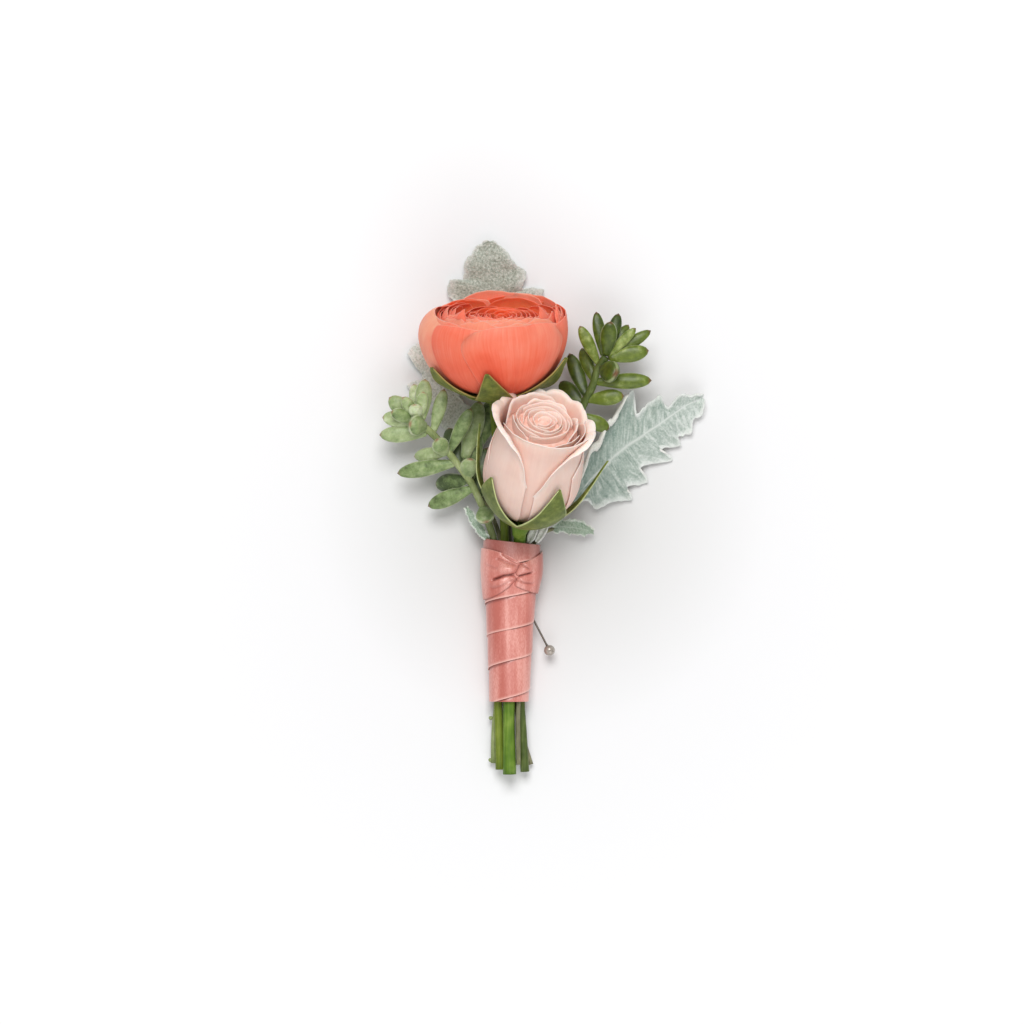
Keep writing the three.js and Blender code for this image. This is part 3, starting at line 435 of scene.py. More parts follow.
# Green plant skin lets a little light in, and its thin wax gives a dull shine
greenTissue = {"IOR": 1.45, "Specular IOR Level": 0.3, "Subsurface Radius": (0.4, 0.7, 0.2),
               "Subsurface Scale": 0.0008}


# Sepal skin: waxy leaf, mottled in patches of 2 to 3 mm, with fine lengthwise veins, specks under 1 mm and a
# paler, drier margin
def calyxMaterial(name, tones, marginHex, marginFrom, roughness, speckHex):
    material, tree = newMaterial(name)
    uv, aside = bladeMap(tree)
    point = addNode(tree, "TexCoord")
    mottle = addNode(tree, "TexNoise",
                     {"Vector": point[3], "Scale": 420.0, "Detail": 4.0, "Roughness": 0.65})
    ramp = addNode(tree, "ValToRGB", {0: mottle[0]}, list(zip((0.3, 0.5, 0.7), tones)))
    lengthwise = addNode(tree, "Mapping", {0: uv, "Scale": (26.0, 1.4, 1.0)})
    veins = addNode(tree, "TexNoise", {"Vector": lengthwise[0], "Scale": 1.0, "Detail": 3.0})
    ragged = addNode(tree, "Math", {0: veins[0], 1: 0.12, 2: aside}, operation="MULTIPLY_ADD")
    margin = addNode(tree, "MapRange", {0: ragged[0], 1: marginFrom, 2: marginFrom + 0.06, 3: 0.0, 4: 1.0},
                     interpolation_type="SMOOTHSTEP")
    edged = addNode(tree, "Mix", {0: margin[0], 6: ramp[0], 7: colour(marginHex)}, data_type="RGBA")
    specks = addNode(tree, "TexVoronoi", {"Vector": point[3], "Scale": 900.0})
    speck = addNode(tree, "MapRange", {0: specks[0], 1: 0.12, 2: 0.2, 3: 0.55, 4: 0.0})
    base = addNode(tree, "Mix", {0: speck[0], 6: edged[2], 7: colour(speckHex)}, data_type="RGBA")
    relief = addNode(tree, "Math", {0: veins[0], 1: 0.6, 2: mottle[0]}, operation="MULTIPLY_ADD")
    bump = addNode(tree, "Bump", {"Height": relief[0], "Strength": 0.5, "Distance": 0.00012})
    setShader(tree, {"Base Color": base[2], "Normal": bump[0], "Roughness": roughness,
                     "Subsurface Weight": 0.15, **greenTissue})
    return material


ranunculusCalyxSkin = calyxMaterial("ranunculus sepal skin", ("4c571f", "68702c", "868a40"),
                                    "98884a", 0.48, 0.5, "4e461e")


# Stem skin: smooth and waxy, with fibres about 0.4 mm wide along it and patches of 4 mm
def stemMaterial(name, tones, roughness):
    material, tree = newMaterial(name)
    point = addNode(tree, "TexCoord")
    fibres = addNode(tree, "Mapping", {0: point[3], "Scale": (1.0, 0.06, 1.0)})
    streak = addNode(tree, "TexNoise", {"Vector": fibres[0], "Scale": 2600.0, "Detail": 3.0})
    patch = addNode(tree, "TexNoise", {"Vector": point[3], "Scale": 260.0, "Detail": 3.0})
    patchPart = addNode(tree, "Math", {0: patch[0], 1: 0.55}, operation="MULTIPLY")
    blend = addNode(tree, "Math", {0: streak[0], 1: 0.45, 2: patchPart[0]}, operation="MULTIPLY_ADD")
    ramp = addNode(tree, "ValToRGB", {0: blend[0]}, list(zip((0.3, 0.5, 0.7), tones)))
    bump = addNode(tree, "Bump", {"Height": blend[0], "Strength": 0.4, "Distance": 0.0001})
    setShader(tree, {"Base Color": ramp[0], "Normal": bump[0], "Roughness": roughness,
                     "Subsurface Weight": 0.12, **greenTissue})
    return material


oliveStem = stemMaterial("ranunculus stem skin", ("53641c", "6a7a26", "86933c"), 0.45)
brightStem = stemMaterial("rose stem skin", ("45661a", "5e7d26", "7f983f"), 0.42)
paleStem = stemMaterial("left sprig stem skin", ("6f7c4a", "8e9a66", "adb488"), 0.55)
darkStem = stemMaterial("right sprig stem skin", ("38481f", "53622e", "7a8850"), 0.5)
brownPetiole = stemMaterial("dusty miller petiole", ("5c5c42", "78765a", "9a9878"), 0.8)
pithCut = stemMaterial("cut stem end, wet pith", ("8ea055", "b5c07e", "d2d6a6"), 0.5)

# Stems from the cut end at the bottom to what each one carries
stems = {
    "rose": {"radius": 1.55, "route": [
        (-0.6, -61, 5.6), (-0.8, -50, 5.9), (-0.8, -42, 6.2), (-0.4, -32, 6.7), (0.4, -22, 7.4),
        (1.2, -12, 8.1), (1.7, -5, 8.8), (2.0, 0.5, 10.0), (2.2, 3.0, 12.2)]},
    "ranunculus": {"radius": 1.1, "route": [
        (-3.1, -59.8, 4.2), (-3.4, -50, 4.4), (-3.6, -42, 4.6), (-3.2, -32, 5.2), (-2.7, -20, 6.0),
        (-2.2, -8, 7.0), (-1.9, 0, 7.6), (-2.4, 10, 8.2), (-3.4, 20, 9.6), (-4.3, 29, 12.0),
        (-4.7, 35.2, 14.0), (-4.7, 37.0, 14.6)]},
    "sprigLeft": {"radius": 0.95, "route": [
        (-4.6, 0, 6.0), (-6.6, 6, 7.4), (-8.2, 10, 8.8), (-10.6, 15, 10.4), (-13.8, 19.5, 12.0),
        (-16.8, 23.4, 12.8), (-20.4, 27.6, 13.0), (-24.6, 31.2, 13.2)]},
    "sprigLeftFoot": {"radius": 0.6, "route": [
        (-4.9, -58.2, 2.4), (-4.8, -50, 2.5), (-4.1, -42, 2.8), (-3.9, -32, 3.2), (-4.3, -20, 4.2),
        (-4.6, -8, 5.4), (-4.6, 1.5, 6.3)]},
    "sprigRight": {"radius": 1.0, "route": [
        (3.4, -60.4, 3.6), (2.8, -50, 3.9), (2.3, -42, 4.2), (2.8, -32, 4.8), (3.4, -22, 5.5),
        (3.9, -12, 5.7), (3.6, -4, 5.1), (3.8, 1, 4.7), (6.8, 5, 4.9), (10.8, 13, 6.8), (14.8, 24, 9.4),
        (18.0, 34, 10.6), (20.8, 40, 11.8), (22.2, 44.6, 13.0), (24.4, 47.8, 14.0)]},
}


# The cut end, as shares of the stem's radius: its flare, the rind's width, and the pith's rim and depth
cutEnd = {"flare": 0.12, "rind": 0.16, "pithRim": 0.1, "pithDepth": 0.12}


# A round stem along a route. Its start is a flat cut with a sunk pith, in the material of slot 1.
def addStem(bm, route, radius, sides=16, swell=0.06, seed=1, cut=True):
    steps = (len(route) - 1) * 5
    made = bmesh.ops.create_grid(bm, x_segments=sides, y_segments=steps, size=1, calc_uvs=True)["verts"]
    for vert in made:
        angle = vert.co.x * math.pi
        share = (vert.co.y + 1) / 2
        here = alongLine(route, share)
        ahead = alongLine(route, min(share + 0.01, 1)) - alongLine(route, max(share - 0.01, 0))
        ahead.normalize()
        side = ahead.cross(Vector((0, 0, 1))).normalized()
        up = side.cross(ahead)
        reach = radius * (1 + swell * wave(share * 9, math.sin(angle) * 0.6, seed))
        reach *= 1 + cutEnd["flare"] * max(1 - share * 5, 0) if cut else 1
        vert.co = here + (side * math.sin(angle) + up * math.cos(angle)) * reach
    bmesh.ops.remove_doubles(bm, verts=made, dist=weldDistance)
    made = [vert for vert in made if vert.is_valid]
    rim = {edge for vert in made for edge in vert.link_edges if edge.is_boundary}
    caps = bmesh.ops.holes_fill(bm, edges=list(rim), sides=0)["faces"]
    bmesh.ops.recalc_face_normals(bm, faces=list({face for vert in made for face in vert.link_faces}))
    start = Vector(route[0])
    for cap in caps:
        if cut and (cap.calc_center_median() - start).length < radius:
            bmesh.ops.inset_region(bm, faces=[cap], thickness=radius * cutEnd["rind"], depth=0.0)
            bmesh.ops.inset_region(bm, faces=[cap], thickness=radius * cutEnd["pithRim"],
                                   depth=-radius * cutEnd["pithDepth"])
            cap.material_index = 1


# A flower's heart, its sepals, and its hip with the stem
def finishFlower(name, flower, turned, sepalAt, heartSkin, calyxSkin, stemSkin):
    heart = bmesh.new()
    addTurned(heart, flower["core"], 32)
    makePiece(name + "Heart", heart, [heartSkin], [flower["bloomNode"]], flower["petalSlot"], turned=turned)
    sepals = newBlades()
    for index, sepal in enumerate(flower["sepals"]):
        addBlade(sepals, *flower["sepalGrid"], sepalAt(sepal, index + flower["sepalSeed"]), 0.5, 0.5)
    makePiece(name + "Sepals", sepals, [calyxSkin], [flower["stemNode"]], flower["calyxSlot"],
              flower["sepalWall"], turned=turned)
    stalk = newBlades()
    addTurned(stalk, flower["hip"], 32)
    bmesh.ops.transform(stalk, matrix=turned, verts=stalk.verts)
    addStem(stalk, **stems[name], seed=flower["stemSeed"])
    makePiece(name + "Stalk", stalk, [stemSkin, pithCut], [flower["stemNode"]], flower["calyxSlot"])


def buildRanunculus():
    turned = flowerFrame(ranunculus["centre"], ranunculus["tilt"], ranunculus["lean"])
    bloom = ([ranunculusSkin, ranunculusInside, ranunculusEdge], [ranunculus["bloomNode"]],
             ranunculus["petalSlot"], ranunculus["petalWall"], (1, 2), turned)
    eyeShift = ranunculus["eyeShift"]
    bm = newBlades()
    for index, petal in enumerate(ranunculus["outer"]):
        def tintAt(s, v, tone=petal["tint"], inFront=index == 0):
            base = tone + 0.12 * v ** 3 - 0.22 * (1 - v)
            if inFront:
                shade = 0.3 * math.exp(-((s + 0.6) / 0.22) ** 2) * math.sin(math.pi * v) ** 2
                base += 0.08 * max(s, 0) - shade
            return base

        addBlade(bm, *ranunculus["outerGrid"], ballPetal(petal, 0, index + 1), tintAt, 0.45)
    makePiece("ranunculusOuterPetals", bm, *bloom)
    bm = newBlades()
    for ringIndex, ring in enumerate(ranunculus["innerRings"]):
        petals, radius, lowest, front, back, firstTurn, point = ring
        for number in range(petals):
            seed = 20 + ringIndex * 7 + number
            turn = firstTurn + 360 / petals * number + 10 * wave(seed, 1, 2)
            facing = math.cos(math.radians(turn))
            if facing < -0.3 and not back:
                continue
            rim = lerp(back or front - 8, front, (facing + 1) / 2) + 2 * wave(seed, 3, 1)
            if radius > 14.8:  # Lower on the left, where the photograph looks into the bloom
                rim -= 10 * math.exp(-((turn - 268) / 34) ** 2)
            petal = {"turn": turn, "half": 210 / petals, "radius": radius, "lowest": lowest, "rim": rim,
                     "drop": (6, 6), "sag": (-0.3, 0.3), "curl": 0.7,
                     "point": point * (0.4 + max(facing, 0))}
            addBlade(bm, *ranunculus["ringGrid"], ballPetal(petal, eyeShift, seed), 0.66 + 0.2 * facing, 0.4)
    for number, (turn, half, radius, rim, drop, point) in enumerate(ranunculus["single"]):
        petal = {"turn": turn, "half": half, "radius": radius, "lowest": -20, "rim": rim,
                 "drop": (drop, drop), "sag": (-0.4, 0.5), "curl": 0.8, "point": point}
        addBlade(bm, *ranunculus["singleGrid"], ballPetal(petal, eyeShift, 60 + number), 0.6, 0.35)
    addFace(bm, ranunculus, lambda ring: eyeShift,
            lambda ring, turn: 0.6 + 0.26 * math.cos(math.radians(turn)) - 0.012 * ring)
    makePiece("ranunculusInnerPetals", bm, *bloom)
    # The ranunculus heart's dark reds are painted shade
    finishFlower("ranunculus", ranunculus, turned, ranunculusSepal,
                 heartMaterial("ranunculus heart, painted shade", "8c2a1c", "b84430"), ranunculusCalyxSkin, oliveStem)


# Crowded petal tissue in a flower's heart, seen only in the gaps between its petals: dull folds of 1.5 mm,
# dark red in the ranunculus as painted shade, since hardly any light gets in there, and pale in the rose
def heartMaterial(name, lowHex, highHex):
    material, tree = newMaterial(name)
    point = addNode(tree, "TexCoord")
    folds = addNode(tree, "TexNoise", {"Vector": point[3], "Scale": 700.0, "Detail": 3.0})
    ramp = addNode(tree, "ValToRGB", {0: folds[0]}, [(0.35, lowHex), (0.65, highHex)])
    bump = addNode(tree, "Bump", {"Height": folds[0], "Strength": 0.6, "Distance": 0.0003})
    setShader(tree, {"Base Color": ramp[0], "Normal": bump[0], "Roughness": 0.7})
    return material


buildRanunculus()
print("ranunculus made")

# Blush spray rose: an egg of rolled petals on its foot
rose = {
    "bloomNode": "rose_bloom",
    "stemNode": "rose_stem",
    "petalSlot": "rose_petal",
    "calyxSlot": "rose_calyx",
    "foot": (2.86, 6.5, 15.6),
    "tilt": 38,
    "lean": 12.5,
    "radius": 12.3,
    "widestAt": 14.5,
    "height": 33,
    "petalWall": 0.3,
    "innerWall": 0.42,
    "outerGrid": (36, 28),
    "backGrid": (28, 22),
    "lipFrom": 0.74,
    # Each petal: where it faces, half its width, its layer, its foot and how far that is tucked in, its top,
    # how far its edge drops at the left and right and with what power, how it flares, how far its lip rolls
    # out and round what radius, the height where that starts, its crinkles, and more flare on the right
    "petals": rowsOf([
        ("turn", "half", "layer", "foot", "tuck", "top", "drop", "power", "flare", "roll", "bend", "from",
         "crinkle", "right"),
        (-80, 76, 1, 0.5, 0, 32.6, (6, 13), 4, 3.4, 3.0, 1.6, 19, 1.1, 0),
        (80, 72, 0.985, 0.5, 0, 31.8, (15, 6), 2.6, 3.4, 3.4, 1.8, 16, 1.0, 0),
        (-118, 46, 1.03, 0.8, 0, 25, (3, 6), 2.5, 0.5, 0.4, 1.0, 12, 0.5, 0),
        (112, 55, 1.025, 0.8, 0, 25.5, (5, 3), 2.5, 0.5, 0.4, 1.0, 12, 0.5, 0),
        (0, 70, 0.945, 0.6, 0, 32.2, (1.0, -0.6), 4, 2.2, 1.0, 1.0, 28, 0.35, 2.8),
        (163, 54, 0.93, 6, 0.25, 32.6, (4, 4), 4, 4.2, 1.9, 1.0, 24, 1.2, 0),
        (-150, 54, 0.84, 6, 0.25, 32.8, (5, 5), 4, 3.2, 1.2, 1.0, 24, 0.7, 0),
        (52, 40, 0.86, 6, 0.25, 32.0, (4, 4), 4, 2.6, 0.8, 1.0, 25, 0.4, 0),
        (84, 42, 0.93, 6, 0.25, 31.4, (4, 4), 4, 3.2, 0.6, 1.0, 25, 0.4, 0),
        (92, 44, 0.75, 6, 0.25, 32.6, (5, 5), 4, 1.8, 1.1, 1.0, 24, 0.7, 0),
        (-60, 46, 0.75, 6, 0.25, 32.6, (5, 5), 4, 1.4, 0.9, 1.0, 24, 0.7, 0),
        (180, 60, 0.7, 6, 0.25, 32.8, (4, 4), 4, 1.6, 0.9, 1.0, 24, 0.7, 0),
    ]),
    # The spiral face, and its rings as petals, radius, top and first turn
    "face": {"across": 16, "foot": 27.4, "curl": -0.5, "seed": 130, "sunk": 0},
    "faceRings": [
        (3, 6.7, 32.4, 50), (2, 5.2, 32.2, 5), (2, 3.9, 32.7, 105), (2, 2.7, 32.3, 30), (1, 1.4, 32.4, 110),
    ],
    "sepalWall": 0.5,
    "sepalGrid": (14, 24),
    "sepalSeed": 160,
    "sepals": rowsOf([
        ("turn", "halfWidth", "path"),
        (-49, 7.4, [(2.6, -1.2), (6.9, 1.2), (10.6, 5.2), (12.7, 10), (13.2, 17)]),
        (34, 7.0, [(2.6, -1.2), (6.9, 1.2), (10.6, 5.2), (12.9, 11), (13.7, 20)]),
        (-102, 1.2, [(2.4, -1.4), (8.6, 1.0), (13.4, 7.0), (15.2, 15), (16.4, 24)]),
        (98, 1.2, [(2.4, -1.6), (7.9, 0.4), (12.3, 5.2), (15.5, 13), (18.4, 21.8)]),
        (172, 5.6, [(2.6, -1.0), (6.9, 1.6), (10.9, 5.4), (12.9, 10), (13.5, 16)]),
    ]),
    "core": [(0, 0.35), (2.6, 0.35), (8.0, 5.8), (9.6, 10.0), (10.2, 16.0), (10.0, 22.0), (9.2, 27.0),
             (9.2, 28.8), (6.4, 30.2), (0, 31.0)],
    "hip": [(0, -6.4), (1.75, -6.4), (2.1, -4.4), (3.0, -2.2), (3.3, -0.8), (2.9, 0), (0, 0)],
    "stemSeed": 5,
}


# The rose bud's egg shape: its radius at a height over the foot
def eggRadius(height):
    toWidest = height / rose["widestAt"] - 1
    if toWidest < 0:
        return rose["radius"] * max(1 - toWidest ** 2, 0) ** 0.6
    return rose["radius"] * (1 - 0.9 * ((height - rose["widestAt"]) / rose["height"]) ** 2)


# A rose petal stands on the egg. Its lip rolls outwards round the radius bend, at right angles to its edge.
def rosePetal(petal, seed):
    roll, bend, lipFrom = petal["roll"], petal["bend"], rose["lipFrom"]
    scale = math.radians(petal["half"]) * rose["radius"] * petal["layer"]

    def edgeHeight(s):
        notch = petal["crinkle"] * (wave(s * 4, 0, seed) + 0.5 * wave(s * 9, 2, seed))
        return petal["top"] - petal["drop"][0 if s < 0 else 1] * abs(s) ** petal["power"] + notch

    def pointAt(s, v):
        slope = (edgeHeight(s + 0.02) - edgeHeight(s - 0.02)) / 0.04 / scale
        level = 1 / math.sqrt(1 + slope ** 2)
        amount = min(max((edgeHeight(s) - petal["from"]) / (petal["top"] - petal["from"]), 0.08), 1) ** 0.8
        start = edgeHeight(s) - min(bend * min(amount * roll / bend, 1) / level, 6.0)
        straight = min(v / lipFrom, 1)
        height = petal["foot"] + (start - petal["foot"]) * straight
        width = petal["half"] * (0.9 + 0.1 * min(straight / 0.4, 1))
        opened = petal["flare"] + petal["right"] * max(s, 0)
        opened *= max((height / rose["height"] - 0.72) / 0.28, 0) ** 2
        reach = eggRadius(height) * petal["layer"] * (1 - petal["tuck"] * (1 - straight) ** 4) + opened
        reach += 0.3 * wave(s * 2, straight * 2, seed + 4) * straight
        turn = petal["turn"] + s * width
        if v > lipFrom:
            rolled = (v - lipFrom) / (1 - lipFrom) * (1 + 0.3 * wave(s * 3, 1, seed + 8))
            angle = rolled * amount * roll / bend
            height += math.sin(angle) * bend * level
            turn -= math.degrees(math.sin(angle) * bend * slope * level / reach)
            reach += (1 - math.cos(angle)) * bend
        return around(reach, turn, height)

    return pointAt


def roseSepal(sepal, seed):
    def pointAt(s, v):
        reach, height, _ = alongLine([(r, h, 0) for r, h in sepal["path"]], v)
        opened = 0.55 + 0.45 * math.sin(min(v / 0.36, 1) * math.pi / 2)
        outline = opened * (1 - 0.97 * max((v - 0.45) / 0.55, 0) ** 1.5) * (1 + 0.06 * wave(v * 5, s, seed))
        width = math.degrees(sepal["halfWidth"] * outline / max(reach, sepal["halfWidth"]))
        lift = 0.35 * s ** 2 * v + 0.2 * wave(s, v * 4, seed + 1) * v
        return around(reach + lift, sepal["turn"] + s * width, height)

    return pointAt


roseSkin = petalMaterial(
    "rose petal, outer skin",
    [(0.0, "d6a091"), (0.3, "e4bbae"), (0.5, "edc9bc"), (0.75, "f4dcd1"), (1.0, "f8eee6")],
    (40.0, 2.0, 1.0), 0.22, (1.0, 0.55, 0.4), 0.55, "dfd2b0", 0.16)
roseInside = petalMaterial(
    "rose petal, inner skin",
    [(0.0, "ecb4a2"), (0.4, "f4c9ba"), (0.7, "f8ddd2"), (1.0, "faeee6")],
    (36.0, 2.0, 1.0), 0.2, (1.0, 0.5, 0.35), 0.5, "eec3ab", 0.3)
roseEdge = petalMaterial(
    "rose petal, lip edge",
    [(0.0, "eec8ba"), (0.5, "f4d9ce"), (1.0, "faece4")],
    (30.0, 2.0, 1.0), 0.15, (1.0, 0.6, 0.45), 0.55, "e8dcc0", 0.2)
roseCalyxSkin = calyxMaterial("rose sepal skin", ("4e5d24", "667330", "848f46"),
                              "bcc48a", 0.5, 0.5, "746e38")


def buildRose():
    turned = flowerFrame(rose["foot"], rose["tilt"], rose["lean"])
    petalSkins = [roseSkin, roseInside, roseEdge]
    bm = newBlades()
    for index, petal in enumerate(rose["petals"]):
        def tintAt(s, v, index=index):
            lip = 0.34 * max((v - 0.7) / 0.3, 0) ** 0.5
            bruise = 0.22 * math.exp(-((s + 0.55) / 0.3) ** 2) * v if index == 0 else 0
            tone = (0.3 if index == 2 else 0.44) + (0.04 if index < 2 else 0)
            return tone + lip - bruise - 0.4 * max(0.55 - v, 0)

        grid = rose["outerGrid"] if index < 5 else rose["backGrid"]
        addBlade(bm, *grid, rosePetal(petal, index + 100), tintAt, 0.5)
    makePiece("roseOuterPetals", bm, petalSkins, [rose["bloomNode"]], rose["petalSlot"], rose["petalWall"],
              (1, 2), turned)
    bm = newBlades()
    addFace(bm, rose, lambda ring: 1.1 * wave(ring * 1.7, 1, 4),
            lambda ring, turn: lambda s, v: 0.46 + 0.26 * v)
    makePiece("roseInnerPetals", bm, petalSkins, [rose["bloomNode"]], rose["petalSlot"], rose["innerWall"],
              (1, 1), turned)
    finishFlower("rose", rose, turned, roseSepal, heartMaterial("rose heart", "eab9a6", "f4d2c4"),
                 roseCalyxSkin, brightStem)


buildRose()
print("rose made")

# Succulent sprigs: where each leaf grows from, where its tip is, and its width
sprigs = {
    "plumpness": 0.74,
    "flatTop": 0.72,
    "widthScale": 1.12,
    "sag": 0.05,
    "stemSwell": 0.14,
    "nubRadius": 0.55,
    # Leaves with their tip under this height are deep in the bunch and get painted shade: a darker tone
    "paintedShadeUnder": 9,
    "paintedShadeTone": 0.11,
    "left": [
        ((-24.6, 31.4, 13.2), (-32.0, 37.4, 13.6), 4.2),
        ((-24.6, 31.6, 13.6), (-25.4, 35.4, 17.8), 3.2),
        ((-24.4, 31.8, 13.6), (-28.4, 37.4, 16.6), 3.0),
        ((-24.0, 31.8, 13.6), (-23.0, 38.8, 17.2), 2.8),
        ((-24.8, 31.2, 13.4), (-31.4, 33.6, 16.4), 3.2),
        ((-23.6, 31.0, 13.4), (-22.6, 42.2, 14.4), 4.0),
        ((-23.4, 31.0, 12.6), (-25.6, 41.0, 10.2), 3.6),
        ((-20.6, 28.0, 13.0), (-17.6, 39.6, 13.0), 3.2),
        ((-22.2, 29.6, 13.4), (-26.6, 30.4, 17.6), 4.8),
        ((-24.6, 31.2, 12.8), (-33.8, 32.2, 12.0), 3.8),
        ((-21.8, 28.2, 12.8), (-34.6, 27.6, 11.4), 4.0),
        ((-24.2, 31.0, 12.6), (-27.6, 37.4, 7.4), 3.8),
        ((-16.4, 23.0, 12.8), (-10.6, 34.6, 13.8), 3.4),
        ((-17.0, 22.4, 13.0), (-19.6, 26.4, 17.0), 4.0),
        ((-16.6, 23.2, 12.2), (-25.6, 22.0, 7.2), 3.4),
        ((-14.4, 20.4, 12.2), (-30.0, 17.6, 9.0), 3.9),
        ((-11.4, 16.0, 10.4), (-20.0, 14.6, 4.6), 4.4),
        ((-10.0, 13.8, 9.8), (-22.0, 9.0, 7.0), 3.9),
        ((-11.6, 16.4, 11.0), (-10.8, 21.4, 14.6), 4.2),
        ((-7.6, 9.0, 8.6), (-6.6, 4.9, 13.0), 4.4),
        ((-9.0, 11.0, 7.6), (-6.4, 24.5, 6.0), 4.6),
        ((-11.2, 15.4, 8.6), (-9.6, 30.4, 6.6), 4.8),
        ((-13.6, 19.0, 10.0), (-16.6, 29.6, 5.8), 4.4),
        ((-12.4, 21.0, 9.6), (-8.4, 36.6, 8.4), 4.8),
        ((-9.6, 23.6, 6.8), (-4.4, 37.4, 5.2), 5.0),
    ],
    "right": [
        ((22.6, 45.8, 13.4), (17.6, 56.0, 14.2), 3.0),
        ((23.8, 47.8, 13.8), (21.9, 59.7, 13.0), 2.9),
        ((24.4, 48.0, 14.2), (25.6, 57.0, 17.8), 3.9),
        ((24.6, 48.2, 13.4), (27.8, 59.3, 11.6), 3.2),
        ((24.8, 48.0, 14.0), (32.2, 55.4, 15.0), 2.4),
        ((24.8, 48.0, 13.0), (30.4, 56.4, 10.6), 2.8),
        ((25.0, 47.8, 13.6), (36.2, 54.8, 12.6), 2.8),
        ((25.0, 47.4, 13.8), (35.6, 49.6, 13.8), 3.9),
        ((25.0, 47.6, 12.8), (32.6, 50.6, 8.4), 3.4),
        ((23.0, 45.0, 13.2), (27.0, 43.4, 19.6), 5.2),
        ((21.4, 41.4, 12.2), (36.4, 41.8, 12.6), 3.8),
        ((19.4, 36.8, 11.4), (29.2, 37.8, 12.6), 3.8),
        ((19.6, 37.2, 11.2), (14.9, 49.0, 8.4), 3.5),
        ((18.4, 35.0, 10.6), (12.6, 41.6, 7.0), 4.0),
        ((21.4, 41.4, 11.8), (18.2, 50.4, 7.8), 3.2),
        ((17.6, 32.8, 10.4), (25.4, 29.2, 9.6), 3.6),
    ],
    # Old leaf scars on the foot of the left sprig
    "nubs": [(-5.5, -46.4, 2.6), (-5.6, -57.4, 2.5)],
}


# How wide a succulent leaf is at u of its length: a stalked foot, fullest past the middle, a blunt tip
def leafFullness(u):
    foot = 0.42 + 0.58 * math.sin(min(u / 0.6, 1) * math.pi / 2) ** 1.4
    if u < 0.6:
        return foot
    return max(1 - ((u - 0.6) / 0.4) ** 2.1, 0) ** 0.62


def addPlumpLeaf(bm, start, tip, width, seed):
    start, tip = Vector(start), Vector(tip)
    ahead = (tip - start).normalized()
    length = (tip - start).length
    beside = Vector((ahead.y, -ahead.x, 0))
    if beside.length < 0.4:
        beside = Vector((1, 0, 0))
    beside = (beside - ahead * beside.dot(ahead)).normalized()
    upper = beside.cross(ahead)
    if upper.z < 0 or (abs(upper.z) < 0.3 and upper.y < 0):
        upper = -upper
    tone, along, edge = (bm.verts.layers.float[name] for name in ("tint", "along", "edge"))
    made = bmesh.ops.create_uvsphere(bm, u_segments=20, v_segments=18, radius=1)["verts"]
    half = width * sprigs["widthScale"] / 2
    toneWithPaintedShade = 0.5 + 0.5 * wave(seed * 1.7, 0.5, 3)
    # Painted shade: a leaf deep in the bunch is darker the lower its tip lies
    toneWithPaintedShade -= sprigs["paintedShadeTone"] * max(sprigs["paintedShadeUnder"] - tip.z, 0)
    for vert in made:
        z = max(min(vert.co.z, 1), -1)
        angle = math.atan2(vert.co.y, vert.co.x)
        u = 0.5 + math.asin(z) / math.pi
        fullness = leafFullness(u) if abs(z) <= 0.9999 else 0.0
        fullness *= min(math.sqrt(max(u, 0) / 0.04), 1)
        across, deep = math.cos(angle), math.sin(angle)
        x = math.copysign(abs(across) ** 0.85, across) * fullness * half
        y = math.copysign(abs(deep) ** 0.9, deep) * fullness * half * sprigs["plumpness"]
        if y > 0:
            y *= sprigs["flatTop"]
        y += sprigs["sag"] * length * (u ** 2 - u) + 0.12 * half * wave(u * 3, across, seed) * fullness
        vert[tone] = toneWithPaintedShade
        vert[along] = u
        vert[edge] = abs(across) ** 3
        vert.co = start + beside * x + upper * y + ahead * (u * length)


